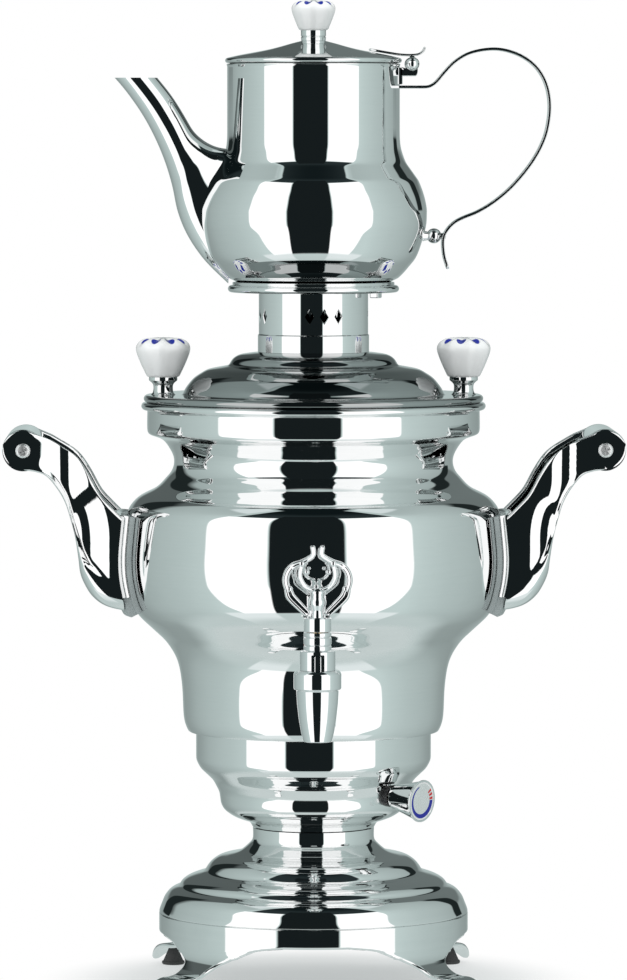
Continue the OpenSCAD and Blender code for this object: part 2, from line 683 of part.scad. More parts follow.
// Inner arm from the rail's shoulder to the stem
key_arm = [[0.44, 0.72, 2.4], [0.49, 0.59, 2.4], [0.45, 0.504, 2.4], [0.32, 0.416, 2.6], [0, 0.363, 2.6]];

function key_path(p) = smooth([for (q = p) [-q[0] * key_reach, q[1] * key_h, q[2]]], 4);

module key_bar(p) upright(strip(key_path(p)), -key_t / 2, key_t / 2);

module tap_key() color("gainsboro") barrel_place() {
    difference() {
        translate([0, 0, cap_z]) cylinder(h = cap_top_z - cap_z, r = cap_r, $fn = 72);
        translate([0, 0, cap_z - overcut]) cylinder(h = stem_h + overcut, r = stem_r + seat_gap / 2);
    }
    translate([0, 0, cap_top_z]) {
        for (side = [0, 1]) mirror([side, 0, 0]) {
            key_bar(key_rail);
            key_bar(key_arm);
            translate([-0.4 * key_reach, 0, 0.685 * key_h]) rotate([90, 0, 0])
                cylinder(h = key_t, r = 2, center = true, $fn = 32);
        }
        rotate_extrude($fn = 48) polygon([[0, -0.01], [3.6, 0], [3, 0.08 * key_h], [4.4, 0.17 * key_h],
            [4.6, 0.22 * key_h], [3.6, 0.28 * key_h], [4.2, 0.36 * key_h], [0, 0.38 * key_h]]);
    }
}

// ---- Side handles ----

grip_x = belly_r + grip_out;
grip_z = belly_z + grip_up;
flange_low = 19;
pad_low = 28.5;
flange_high = 22.5;
bolt_r = 2;
bolt_turn = 10;
roll_r = 8;
grip_share = grip_out / 52.8;

// A point of the bracket as [beyond the belly, below the grip]
function at_grip(p) = [belly_r + p[0] * grip_share, grip_z + p[1]];

// Upper edge from the body out to the grip
bracket_top = smooth([for (p = [[-6, -40], [0, -35.8], [6, -30], [12, -23.3], [17.4, -13.5],
    [22.7, -5.5], [27.6, -1], [34.3, 3.2], [39.2, 6]]) at_grip(p)], 2);
// Lower edge from the grip back to where the rolled foot begins
bracket_back = [[47, -11.1], [40.7, -13.3], [34.9, -20], [30.6, -27.5], [28, -35.5], [25.3, -46]];
// The foot's edge on the plates' faces, and where it bulges furthest between them
foot_face = [[21.6, -57], [18.5, -62], [15.8, -64.7], [12.2, -68.5], [8.4, -72.2], [0.9, -76.4],
    [-8, -78]];
foot_bulge = [[23.6, -57.5], [22.7, -65.5], [20.4, -71.4], [16.6, -77.4], [11, -82], [3.6, -84.6],
    [-8, -86.2]];

function under_line(bulge) = smooth([for (p = concat(bracket_back,
    [for (i = [0:len(foot_face) - 1]) foot_face[i] + bulge * (foot_bulge[i] - foot_face[i])]))
        at_grip(p)], 2);

function bracket_outline(bulge) =
    concat(bracket_top, arc(grip_x, grip_z, grip_r, 130, -95, 16), under_line(bulge));

// Steps across the foot's rounded edge, as [how far in from the plate's face, share of the bulge]
foot_steps = [for (a = [0:22.5:90]) [roll_r * (1 - cos(a)), sin(a)]];

module body_grown(gap) spun(concat([[0, tank_z]], beside(tank_line, -gap), [[0, band_z]]));

// The two bolts of the handle on +X, along their own axes
module bolts_of_side() for (a = [-bolt_turn, bolt_turn]) rotate([0, 0, a])
    translate([0, 0, belly_z]) rotate([0, 90, 0]) children();

module handle_bolts() for (side = [0, 180]) rotate([0, 0, side]) bolts_of_side() children();

// The part of the body that a handle's flange or pad covers
module handle_window(low, high) translate([0, -handle_half, belly_z - low])
    cube([far, 2 * handle_half, low + high]);

module bracket_solid() difference() {
    union() {
        for (s = foot_steps) upright(bracket_outline(s[1]), s[0] - handle_half, handle_half - s[0]);
        intersection() {
            body_grown(pad_t + flange_t);
            handle_window(flange_low, flange_high);
        }
    }
    // The room between the plates, above the rolled foot
    difference() {
        union() {
            upright(concat(beside(under_line(0), plate_t), [[0, grip_z], [0, far], [2 * far, far]]),
                plate_t - handle_half, handle_half - plate_t);
            upright(concat(beside(under_line(1), plate_t), [[0, grip_z], [0, far], [2 * far, far]]),
                roll_r - handle_half, handle_half - roll_r);
        }
        intersection() {
            body_grown(pad_t + flange_t);
            handle_window(flange_low, flange_high);
        }
    }
    body_grown(pad_t + seat_gap);
    intersection() {
        body_grown(pad_t + flange_t + seat_gap);
        translate([0, -far, 0]) cube([far, 2 * far, belly_z - flange_low]);
    }
    bolts_of_side() cylinder(h = far, r = bolt_r + seat_gap / 2, $fn = 32);
    for (side = [0, 180]) grip_end(side) translate([0, 0, -plate_t - overcut])
        cylinder(h = plate_t + 2 * overcut, r = grip_screw_r + seat_gap, $fn = 32);
}

module right_bracket() color("gainsboro") bracket_solid();
module left_bracket() color("gainsboro") mirror([1, 0, 0]) bracket_solid();

module handle_pads() color("dimgray") for (side = [0, 1]) mirror([side, 0, 0]) difference() {
    union() {
        intersection() {
            body_grown(pad_t);
            handle_window(pad_low, flange_high);
        }
        // The foot that the flange stands on
        intersection() {
            body_grown(pad_t + flange_t - 0.5);
            handle_window(pad_low, -flange_low);
        }
    }
    body_grown(seat_gap);
    bolts_of_side() cylinder(h = far, r = bolt_r + seat_gap, $fn = 32);
}

head_set = 0.25;

module handle_screws() color("silver") handle_bolts() {
    translate([0, 0, belly_r - sheet - head_set - 2]) cylinder(h = 2, r = 3.5, $fn = 32);
    translate([0, 0, belly_r - sheet - head_set])
        cylinder(h = pad_t + flange_t + sheet - 1, r = bolt_r, $fn = 32);
}

grip_screw_r = 2;
screw_head_r = 3.9;
grip_hole = 10;

// The outer face of a bracket plate at the grip's end: +Z runs outwards
module grip_end(side) translate([grip_x, 0, grip_z]) rotate([0, 0, side]) rotate([90, 0, 0])
    translate([0, 0, handle_half]) children();

module grip_bars() color("gainsboro") for (side = [0, 1]) mirror([side, 0, 0]) difference() {
    translate([grip_x, handle_half - plate_t, grip_z]) rotate([90, 0, 0])
        cylinder(h = 2 * (handle_half - plate_t), r = grip_r);
    for (end = [0, 180]) grip_end(end) translate([0, 0, -plate_t - grip_hole])
        cylinder(h = grip_hole + overcut, r = grip_screw_r + seat_gap / 2, $fn = 32);
}

module grip_screws() color("silver") for (side = [0, 1]) mirror([side, 0, 0]) for (end = [0, 180])
    grip_end(end) {
        translate([0, 0, -plate_t - grip_hole + 1])
            cylinder(h = plate_t + grip_hole - 1, r = grip_screw_r, $fn = 32);
        difference() {
            rotate_extrude($fn = 48) polygon(concat([[0, 0], [screw_head_r, 0]],
                arc(screw_head_r - 1.6, 0.6, 1.6, 0, 80, 5), [[0, 2.4]]));
            for (a = [0, 90]) rotate([0, 0, a]) translate([-2, -0.4, 1.5]) cube([4, 0.8, 2]);
        }
    }

// ---- Main lid ----

flange_r = band_r - sheet - lift_gap;
seat_r = collar_r + 1.5;
spigot_r = collar_r - collar_t - lift_gap;
spigot_h = 5;
lid_top_z = lid_z + lid_rim_h;
lid_shares = [[1, 0], [0.955, 0.2], [0.79, 0.35], [0.74, 0.5], [0.6, 0.61], [0.37, 0.68],
    [0.35, 0.73], [0.23, 0.83], [0.12, 0.92], [0, 1]];
lid_slope = smooth(rise(lid_shares, seat_r, lid_flat_r, lid_top_z, collar_z), 3);
lid_under = beside(lid_slope, sheet);

module main_lid() color("gainsboro") difference() {
    spun(concat([[flange_r, lid_z - lid_flange_h], [flange_r, lid_z]],
        arc(lid_r - lid_rim_h / 2, lid_z + lid_rim_h / 2, lid_rim_h / 2, -90, 90), lid_slope,
        [[spigot_r, collar_z], [spigot_r, collar_z + spigot_h], [spigot_r - sheet, collar_z + spigot_h],
            [spigot_r - sheet, collar_z - sheet]], reversed(lid_under),
        [[lid_flat_r, lid_top_z - sheet], [flange_r - sheet, lid_top_z - sheet],
            [flange_r - sheet, lid_z - lid_flange_h]]));
    side_knob_place() translate([0, 0, -far / 2]) cylinder(h = far, r = knob_screw_r + seat_gap, $fn = 24);
}

knob_screw_r = 1.8;

module side_knob_place() for (side = [-1, 1]) translate([side * lid_knob_reach, 0, lid_top_z]) children();

module lid_ferrules() color("silver") side_knob_place() difference() {
    rotate_extrude($fn = 64) polygon(concat([[0, 0]],
        smooth([[6.6, 0], [5.5, 1.4], [5.2, 4], [5.6, 5.8], [7.3, 7.4]], 3),
        [[7.6, 7.6], [7.6, ferrule_h], [0, ferrule_h]]));
    translate([0, 0, -overcut]) cylinder(h = far, r = knob_screw_r + seat_gap / 2, $fn = 24);
}

// Outline of a ceramic knob that stands on its ferrule
function knob_line(r, h, foot) = concat([[0, 0], [foot, 0]],
    smooth([[foot + 0.5, 0.03 * h], [foot + (r - foot) * 0.62, 0.37 * h], [r, 0.68 * h],
        [r * 0.93, 0.86 * h], [r * 0.68, 0.97 * h]], 3), [[0.3 * r, h], [0, h]]);

module side_knobs() color("white") side_knob_place() difference() {
    translate([0, 0, ferrule_h]) rotate_extrude($fn = 64) polygon(knob_line(side_knob_r, side_knob_h, 8.6));
    cylinder(h = ferrule_h + 11, r = knob_screw_r + seat_gap / 2, $fn = 24);
}

module side_knob_screws() color("silver") side_knob_place() {
    translate([0, 0, -sheet - 2]) cylinder(h = 2, r = 3.4, $fn = 32);
    translate([0, 0, -sheet]) cylinder(h = sheet + ferrule_h + 10, r = knob_screw_r, $fn = 24);
}

// ---- Teapot stand ----

collar_line_up = 9.6;

module collar() color("gainsboro") difference() {
    spun([[collar_r - collar_t, collar_z], [collar_r + 0.5, collar_z],
        [collar_r + 0.5, collar_z + collar_line_up - 0.5], [collar_r, collar_z + collar_line_up],
        [collar_r, tray_z], [collar_r - collar_t, tray_z]]);
    for (group = [0:90:270], k = [-1:1]) rotate([0, 0, group + diamond_turn + k * diamond_pitch])
        translate([0, -collar_r / 2, collar_z + collar_h * 0.61])
            rotate([90, 0, 0]) linear_extrude(collar_r) polygon([[-diamond_w / 2, 0], [0, -diamond_h / 2],
                [diamond_w / 2, 0], [0, diamond_h / 2]]);
}

tray_well_r = pot_foot_r + lift_gap + 0.6;
tray_hole_r = spigot_r - 4;
ear_turns = [-23, 90];

module tray_ring() color("gainsboro") {
    wall_r = tray_r - 2.4;
    sleeve_r = collar_r - collar_t - seat_gap;
    spun(concat([[tray_hole_r, tray_z], [sleeve_r - 1, tray_z], [sleeve_r - 1, tray_z - 3],
        [sleeve_r, tray_z - 3], [sleeve_r, tray_z], [wall_r + 0.6, tray_z]],
        arc(tray_r - 1.9, tray_z + 1.9, 1.9, -70, 70), [[wall_r, tray_z + 3.9]],
        arc(wall_r - 0.7, tray_z + tray_h - 0.4, 0.7, -40, 120, 6),
        [[tray_well_r, tray_z + tray_h], [tray_well_r, tray_z + tray_floor_t + 1],
            [tray_well_r - 1, tray_z + tray_floor_t], [tray_hole_r, tray_z + tray_floor_t]]));
    // Ears under the ring
    around(ear_turns) translate([tray_r - 12.5, -3, tray_z - 2.8]) cube([5, 6, 2.8]);
}

// ---- Teapot ----

pot_low_shares = [[0, 0.005], [0.015, 0.1], [0.22, 0.15], [0.4, 0.235], [0.53, 0.31], [0.68, 0.4],
    [0.78, 0.5], [0.9, 0.68], [0.985, 0.85], [1, 1]];
pot_high_shares = [[1, 0.08], [0.96, 0.18], [0.81, 0.34], [0.61, 0.5], [0.33, 0.66], [0.135, 0.82],
    [0.015, 0.97]];
pot_line = concat(smooth(concat(rise(pot_low_shares, pot_foot_r, pot_belly_r, pot_z, pot_belly_z),
    rise(pot_high_shares, pot_neck_r, pot_belly_r, pot_belly_z, pot_neck_z)), 3),
    [[pot_neck_r, pot_neck_z + 3], [pot_neck_r, pot_rim_z - 1]]);
pot_inner = [for (p = beside(pot_line, sheet)) if (p[1] > pot_z + sheet) p];
strainer_r = 1.6;
strainer_z = pot_belly_z;

module pot_body() color("gainsboro") difference() {
    spun(concat([[0, pot_z]], [[pot_foot_r - 1, pot_z]], pot_line,
        [[pot_neck_r + 0.3, pot_rim_z - 0.4], [pot_neck_r, pot_rim_z], [pot_neck_r - sheet, pot_rim_z]],
        reversed(pot_inner), [[pot_foot_r - sheet, pot_z + sheet], [0, pot_z + sheet]]));
    // Strainer holes behind the spout
    for (row = [-2:2], k = [-2:2]) if (abs(row) + abs(k) < 4)
        translate([0, 0, strainer_z + row * 6]) rotate([0, 0, 180 + k * 6.5]) rotate([0, 90, 0])
            cylinder(h = far, r = strainer_r, $fn = 24);
}

spout_mouth_z = pot_neck_z + 31;
spout_root = 15;
spout_rise = spout_mouth_z - pot_z;
// Lower and upper edges of the spout as [beyond the belly, share of the rise], root to mouth
spout_low = [[-spout_root, 0.03], [-2.4, 0.14], [6.7, 0.257], [12, 0.371], [14.7, 0.486], [18.5, 0.6],
    [23.8, 0.714], [30.8, 0.829], [39.9, 0.943], [48.5, 1.03]];
spout_high = [[-spout_root - 6, 0.66], [-10.5, 0.67], [-4.6, 0.69], [-0.5, 0.714], [3.5, 0.748], [7.1, 0.802],
    [11, 0.86], [15.9, 0.925], [22.7, 1], [32, 1.1]];
// Half the spout's width across, from root to mouth
spout_half = [11, 12.2, 12.8, 12.4, 11.6, 10.8, 10.1, 9.6, spout_r, spout_r];
spout_sides = 32;

function spout_edge(p) = [-pot_belly_r - p[0], pot_z + p[1] * spout_rise];

// Stations along the spout as [lower edge, upper edge, half width]
spout_stations = let (a = smooth([for (p = spout_low) spout_edge(p)], 2),
    b = smooth([for (p = spout_high) spout_edge(p)], 2), w = smooth([for (v = spout_half) [v, 0]], 2))
    [for (i = [0:len(a) - 1]) [a[i], b[i], w[i][0]]];

function spout_ring(s, inset) = let (mid = (s[0] + s[1]) / 2, arm = (s[1] - s[0]) / 2, u = unit(arm))
    [for (k = [0:spout_sides - 1]) let (a = 360 * k / spout_sides, r = norm(arm) - inset)
        [mid[0] + r * cos(a) * u[0], (s[2] - inset) * sin(a), mid[1] + r * cos(a) * u[1]]];

// The spout's body; a positive inset makes its bore, which runs on past both ends
module spout_solid(inset) {
    rings = len(spout_stations);
    first = spout_stations[0];
    root = inset > 0 ? [first[0] + [2, -1], first[1] + [2, -1], first[2]] : first;
    points = [for (i = [0:rings - 1]) each spout_ring(i == 0 ? root : spout_stations[i], inset)];
    sides = [for (i = [0:rings - 2], k = [0:spout_sides - 1]) let (m = (k + 1) % spout_sides, n = spout_sides)
        each [[i * n + k, (i + 1) * n + k, i * n + m], [i * n + m, (i + 1) * n + k, (i + 1) * n + m]]];
    last = (rings - 1) * spout_sides;
    polyhedron(points, concat(sides, [[for (k = [0:spout_sides - 1]) k]],
        [[for (k = [spout_sides - 1:-1:0]) last + k]]));
}

module pot_outside() spun(concat([[0, pot_z]], beside(pot_line, -seat_gap), [[0, pot_rim_z]]));

module spout() color("gainsboro") difference() {
    spout_solid(0);
    spout_solid(sheet);
    pot_outside();
    translate([-far / 2, -far / 2, spout_mouth_z]) cube(far);
}

hinge_x = pot_neck_r + hinge_out;
hinge_z = pot_rim_z - 0.2;
strip_top_z = hinge_z - 12.2;
ball_z = pot_z + 28.8;

// Handle strip's middle, from the neck out and round to the lower curl
handle_path = smooth([for (p = [[0.5, 0], [5.3, 1.8], [10.1, 6.6], [15.5, 12], [22, 16.4], [35.3, 19.7],
    [48, 16.6], [58.3, 7.7], [64.5, -5.5], [65.4, -20.7], [60.9, -32.5], [43.3, -55.5], [27, -66.4],
    [14.9, -72.1], [10.2, -76.8]]) [pot_belly_r + p[0], strip_top_z + p[1]]], 3);
handle_foot = smooth([[pot_belly_r + 8.5, ball_z - 2.3], [pot_belly_r + 9.1, ball_z - 10.5],
    [pot_belly_r + 11.2, ball_z - 17.5]], 3);
handle_mid = concat([[pot_neck_r - 3, strip_top_z], [pot_neck_r + 4, strip_top_z]],
    handle_path, handle_foot);

module pot_handle() color("gainsboro") difference() {
    upright(strip([for (p = handle_mid) [p[0], p[1], strip_t]]), -strip_w / 2, strip_w / 2);
    pot_outside();
    translate([0, 0, ball_z]) rotate([0, 90, 0]) cylinder(h = far, r = ball_pin_r + seat_gap / 2, $fn = 24);
}

ball_pin_r = 1.5;
ball_wall_r = radius_at(pot_line, ball_z);
ball_x = pot_belly_r + 8.7 - strip_t / 2 - ball_r;

module handle_ball() color("gainsboro") difference() {
    union() {
        translate([ball_x, 0, ball_z]) sphere(ball_r, $fn = 40);
        translate([ball_wall_r - 4, 0, ball_z]) rotate([0, 90, 0])
            cylinder(h = ball_x - ball_wall_r + 4, r = ball_r * 0.7, $fn = 40);
        translate([ball_x, 0, ball_z]) rotate([0, 90, 0])
            cylinder(h = ball_r + strip_t + 2, r = ball_pin_r, $fn = 24);
    }
    pot_outside();
}

// ---- Teapot hinge and lid ----

bracket_t = 1.6;
ear_gap = 0.3;
ear_y = knuckle_w / 2 + ear_gap;

module hinge_bracket() color("silver") difference() {
    union() {
        // Plate on the neck
        translate([pot_neck_r - 3, -ear_y - bracket_t, strip_top_z + strip_t / 2 + 0.4])
            cube([3 + bracket_t, 2 * (ear_y + bracket_t), hinge_z - strip_top_z - strip_t / 2 - 3.4]);
        for (y = [-ear_y - bracket_t, ear_y]) translate([0, y, 0]) {
            translate([pot_neck_r - 1, 0, hinge_z - 6.5]) cube([hinge_out + 1, bracket_t, 5]);
            translate([hinge_x, bracket_t, hinge_z]) rotate([90, 0, 0])
                cylinder(h = bracket_t, r = 3, $fn = 32);
            translate([hinge_x - 2.9, 0, hinge_z - 6.5]) cube([2.9 + 2.6, bracket_t, 6.5]);
        }
    }
    pot_outside();
    translate([hinge_x, far / 2, hinge_z]) rotate([90, 0, 0])
        cylinder(h = far, r = hinge_pin_r + seat_gap / 2);
}

module hinge_pin() color("gainsboro") translate([hinge_x, 0, hinge_z]) rotate([90, 0, 0]) {
    half = ear_y + bracket_t + hinge_ball_r * 0.8;
    cylinder(h = 2 * half, r = hinge_pin_r, center = true, $fn = 40);
    for (side = [-1, 1]) difference() {
        translate([0, 0, side * half]) sphere(hinge_ball_r, $fn = 40);
        cube([far, far, 2 * (ear_y + bracket_t + seat_gap)], center = true);
    }
}

pot_lid_r = pot_neck_r + pot_lid_out;
pot_lid_z = pot_rim_z + 0.3;
cone_z = pot_lid_z + pot_lid_rim_h;
pot_ferrule_r = 6.7;
pot_lid_flange_r = pot_neck_r - sheet - lift_gap - 0.3;
cone_line = smooth(rise([[1, 0], [0.86, 0.17], [0.5, 0.52], [0.25, 0.86]], 0, pot_lid_r - 1.2,
    cone_z, cone_z + pot_lid_rise), 4);

module pot_lid() color("gainsboro") difference() {
    spun(concat([[pot_lid_flange_r, pot_lid_z - pot_lid_flange_h], [pot_lid_flange_r, pot_lid_z]],
        arc(pot_lid_r - pot_lid_rim_h / 2, pot_lid_z + pot_lid_rim_h / 2, pot_lid_rim_h / 2, -90, 90, 6),
        cone_line, [[pot_ferrule_r, cone_z + pot_lid_rise], [0, cone_z + pot_lid_rise],
            [0, cone_z + pot_lid_rise - sheet], [pot_ferrule_r, cone_z + pot_lid_rise - sheet]],
        reversed([for (p = beside(cone_line, sheet)) if (p[0] < pot_lid_flange_r - sheet) p]),
        [[pot_lid_flange_r - sheet, cone_z - sheet],
            [pot_lid_flange_r - sheet, pot_lid_z - pot_lid_flange_h]]));
    translate([0, 0, pot_lid_z]) cylinder(h = far, r = knob_screw_r + seat_gap, $fn = 24);
    // Steam hole
    translate([0, -pot_lid_r / 2, pot_lid_z]) cylinder(h = far, r = 1.5, $fn = 24);
}

strap_t = 1.2;
strap_line = smooth([[hinge_x - 23, cone_z + pot_lid_rise * 0.36 + 0.5], [hinge_x - 12, cone_z + 1.9],
    [hinge_x - 6, cone_z + 0.9], [hinge_x, cone_z + 0.7], [hinge_x + 4, cone_z + 1.3],
    [hinge_x + 6.6, cone_z + 3.4], [hinge_x + 7.4, cone_z + 5.8]], 4);

module strap_blank() upright(wall(strap_line, strap_t), -knuckle_w / 2, knuckle_w / 2);

module lid_strap() color("gainsboro") difference() {
    union() {
        strap_blank();
        translate([hinge_x, knuckle_w / 2, hinge_z]) rotate([90, 0, 0])
            cylinder(h = knuckle_w, r = 2.9, $fn = 40);
        translate([hinge_x - 1.2, -knuckle_w / 2, hinge_z]) cube([2.4, knuckle_w, cone_z + 1.2 - hinge_z]);
    }
    translate([hinge_x, far / 2, hinge_z]) rotate([90, 0, 0]) cylinder(h = far, r = hinge_pin_r + turn_gap);
    spun(concat([[0, pot_lid_z]], arc(pot_lid_r - pot_lid_rim_h / 2 + seat_gap, pot_lid_z + pot_lid_rim_h / 2,
        pot_lid_rim_h / 2, -90, 90, 6), beside(cone_line, -seat_gap), [[0, cone_z + pot_lid_rise]]));
}

pot_ferrule_h = 5.7;
pot_knob_z = cone_z + pot_lid_rise + pot_ferrule_h;

module pot_ferrule() color("silver") difference() {
    translate([0, 0, cone_z + pot_lid_rise]) rotate_extrude($fn = 64) polygon([[0, 0],
        [pot_ferrule_r - 0.3, 0], [pot_ferrule_r, 1.9], [pot_ferrule_r - 0.4, 2.2], [pot_ferrule_r, 2.5],
        [pot_ferrule_r, pot_ferrule_h], [0, pot_ferrule_h]]);
    cylinder(h = far * 2, r = knob_screw_r + seat_gap / 2, $fn = 24);
}

// Outline of the teapot knob, whose lobes are cut round its crown
module pot_knob() color("white") translate([0, 0, pot_knob_z]) difference() {
    rotate_extrude($fn = 64) polygon(knob_line(pot_knob_r, pot_knob_h, 7.5));
    around([30:60:330]) translate([pot_knob_r * 0.55, 0, pot_knob_h + 0.5])
        rotate([0, 68, 0]) cylinder(h = pot_knob_r * 2, r = 1.6, center = true, $fn = 24);
    translate([0, 0, -overcut]) cylinder(h = 9 + overcut, r = knob_screw_r + seat_gap / 2, $fn = 24);
}

module pot_knob_screw() color("silver") translate([0, 0, cone_z + pot_lid_rise - sheet]) {
    translate([0, 0, -2]) cylinder(h = 2, r = 3.2, $fn = 32);
    cylinder(h = sheet + pot_ferrule_h + 8, r = knob_screw_r, $fn = 24);
}

foot_ring();
glides();
base_plate();
base_screws();
base_dome();
neck_bush();
pedestal();
drum_studs();
tank_shell();
tank_neck();
heater_element();
heater_seals();
heater_nuts();
thermal_cutout();
thermostat();
thermostat_nut();
dial_shaft();
dial_knob();
mains_inlet();
inlet_pins();
tap_boss();
tap_washer();
tap_body();
tap_nut();
tap_nozzle();
tap_plug();
tap_key();
handle_pads();
left_bracket();
right_bracket();
grip_bars();
grip_screws();
handle_screws();
main_lid();
lid_ferrules();
side_knobs();
side_knob_screws();
collar();
tray_ring();
pot_body();
spout();
pot_handle();
handle_ball();
hinge_bracket();
hinge_pin();
pot_lid();
lid_strap();
pot_ferrule();
pot_knob();
pot_knob_screw();
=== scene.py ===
import math

import bmesh
import bpy
from mathutils import Euler, Matrix, Vector
from mathutils.kdtree import KDTree


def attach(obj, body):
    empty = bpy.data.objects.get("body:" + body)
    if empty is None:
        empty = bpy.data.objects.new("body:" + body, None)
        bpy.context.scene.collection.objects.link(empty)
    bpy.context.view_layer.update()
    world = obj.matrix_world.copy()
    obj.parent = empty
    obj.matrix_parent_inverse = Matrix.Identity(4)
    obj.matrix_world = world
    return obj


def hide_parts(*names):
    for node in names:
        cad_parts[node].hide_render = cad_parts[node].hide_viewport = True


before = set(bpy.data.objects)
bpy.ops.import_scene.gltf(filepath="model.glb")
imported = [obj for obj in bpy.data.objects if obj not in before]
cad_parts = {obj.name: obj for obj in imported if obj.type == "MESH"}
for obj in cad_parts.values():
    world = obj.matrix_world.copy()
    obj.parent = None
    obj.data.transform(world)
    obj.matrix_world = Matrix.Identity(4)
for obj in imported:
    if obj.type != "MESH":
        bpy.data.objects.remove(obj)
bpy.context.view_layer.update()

MM = 0.001
DEGREE = 180.0 / math.pi

# Levels and radii in millimetres, from the floor up
SKIRT_R, DOME_Z, NECK_Z, CUP_Z, DRUM_Z, TANK_Z = 82.8, 38.5, 84.0, 100.0, 121.0, 136.0
BELLY_Z, THROAT_Z, BAND_Z, LID_Z, LID_TOP_Z = 229.5, 280.5, 296.0, 312.0, 316.0
COLLAR_Z, TRAY_Z, POT_Z, POT_BELLY_Z, POT_NECK_Z, POT_RIM_Z = 338.7, 370.7, 371.9, 412.9, 453.9, 492.4
BELLY_R, POT_BELLY_R, POT_NECK_R = 101.6, 60.5, 46.0
NECK_R, CUP_R, DRUM_R, THROAT_R, BAND_R = 32.5, 50.0, 62.9, 74.4, 88.8
KNOB_X = 80.3
SHEET = 0.8


# ---- Lines ----

def curve(points, steps=8):
    """A smooth line through a few points."""
    last = len(points) - 1
    line = []
    for i in range(last):
        four = [points[max(i - 1, 0)], points[i], points[i + 1], points[min(i + 2, last)]]
        for j in range(steps):
            t = j / steps
            line.append(tuple((2 * b + (c - a) * t + (2 * a - 5 * b + 4 * c - d) * t * t
                               + (3 * b - a - 3 * c + d) * t ** 3) / 2 for a, b, c, d in zip(*four)))
    line.append(tuple(points[last]))
    return line


def lengths(line):
    far = [0.0]
    for a, b in zip(line, line[1:]):
        far.append(far[-1] + math.dist(a, b))
    return far


def at_length(line, far, s):
    """The point of a line at a length along it."""
    i = 0
    while i < len(far) - 2 and far[i + 1] < s:
        i += 1
    t = min(max((s - far[i]) / max(far[i + 1] - far[i], 1e-9), 0.0), 1.0)
    return tuple(a + (b - a) * t for a, b in zip(line[i], line[i + 1]))


def even(line, step):
    """The same line with points at even distances."""
    far = lengths(line)
    count = max(2, round(far[-1] / step))
    return [at_length(line, far, far[-1] * k / count) for k in range(count + 1)]


def eased(line, reach, step=0.6):
    """An even line whose unevenness shorter than the reach is spun away."""
    line = even(line, step)
    k = min(int(3 * reach / step) + 1, len(line) - 1)
    weights = [math.exp(-0.5 * (i * step / reach) ** 2) for i in range(-k, k + 1)]
    total = sum(weights)
    first, last = line[0], line[-1]
    padded = ([tuple(2 * f - p for f, p in zip(first, line[i])) for i in range(k, 0, -1)] + line
              + [tuple(2 * f - p for f, p in zip(last, line[-1 - i])) for i in range(1, k + 1)])
    return [tuple(sum(w * padded[i + j][a] for j, w in enumerate(weights)) / total
                  for a in range(len(first))) for i in range(len(line))]


def side_of(line, i):
    """The left-hand direction of a flat line at one of its points."""
    a, b = line[max(i - 1, 0)], line[min(i + 1, len(line) - 1)]
    dx, dz = b[0] - a[0], b[1] - a[1]
    size = math.hypot(dx, dz) or 1.0
    return -dz / size, dx / size


def beside(line, gap):
    """The same line moved to its left."""
    sides = [side_of(line, i) for i in range(len(line))]
    return [(x + gap * nx, z + gap * nz) for (x, z), (nx, nz) in zip(line, sides)]


def lining(line, low, high, by=1, every=4):
    """The inner face of a sheet on its way back, between two levels, or two radii by 0."""
    return [p for p in beside(line[::every], SHEET) if low < p[by] < high][::-1]


def above(line, z):
    return [p for p in line if p[1] > z]


def arc(x, z, r, a0, a1, steps=10):
    return [(x + r * math.cos(math.radians(a0 + (a1 - a0) * i / steps)),
             z + r * math.sin(math.radians(a0 + (a1 - a0) * i / steps))) for i in range(steps + 1)]


def rise(shares, r0, r1, z0, z1):
    return [(r0 + (r1 - r0) * a, z0 + (z1 - z0) * b) for a, b in shares]


def radius_at(line, z):
    for a, b in zip(line, line[1:]):
        if min(a[1], b[1]) <= z <= max(a[1], b[1]) and a[1] != b[1]:
            return a[0] + (b[0] - a[0]) * (z - a[1]) / (b[1] - a[1])
    return line[0][0] if z < line[0][1] else line[-1][0]


def softened(outline, radius, steps=4, turn=24):
    """An outline whose sharp corners are rounded, with a point held close behind each rounding."""
    soft = []
    for i, (x, z) in enumerate(outline):
        ways = []
        for px, pz in (outline[i - 1], outline[(i + 1) % len(outline)]):
            size = math.hypot(px - x, pz - z)
            ways.append(((px - x) / max(size, 1e-9), (pz - z) / max(size, 1e-9), size))
        (ax, az, la), (bx, bz, lb) = ways
        bend = math.pi - math.acos(max(-1.0, min(1.0, ax * bx + az * bz)))
        if min(la, lb, abs(x)) < 1e-6 or math.degrees(bend) < turn:
            soft.append((x, z))
            continue
        reach = min(radius * math.tan(bend / 2), 0.42 * la, 0.42 * lb)
        start, end = (x + ax * reach, z + az * reach), (x + bx * reach, z + bz * reach)
        held = 1.35 * reach
        if la > 2.6 * reach:
            soft.append((x + ax * held, z + az * held))
        for k in range(steps + 1):
            # A round corner as a weighted quadratic
            t = k / steps
            p, q, r = (1 - t) ** 2, 2 * math.cos(bend / 2) * t * (1 - t), t * t
            soft.append(tuple((p * s + q * c + r * e) / (p + q + r) for s, c, e in zip(start, (x, z), end)))
        if lb > 2.6 * reach:
            soft.append((x + bx * held, z + bz * held))
    return soft


# ---- Shells: lists of points in millimetres with their faces ----

def loft(rings, joined=False):
    """A skin over loops with as many points each, closed by caps or joined round."""
    n, count = len(rings[0]), len(rings)
    faces = []
    for i in range(count if joined else count - 1):
        j = (i + 1) % count
        for k in range(n):
            m = (k + 1) % n
            faces.append((i * n + k, j * n + k, j * n + m, i * n + m))
    if not joined:
        faces += [tuple(range(n)), tuple(reversed(range((count - 1) * n, count * n)))]
    return [p for ring in rings for p in ring], faces


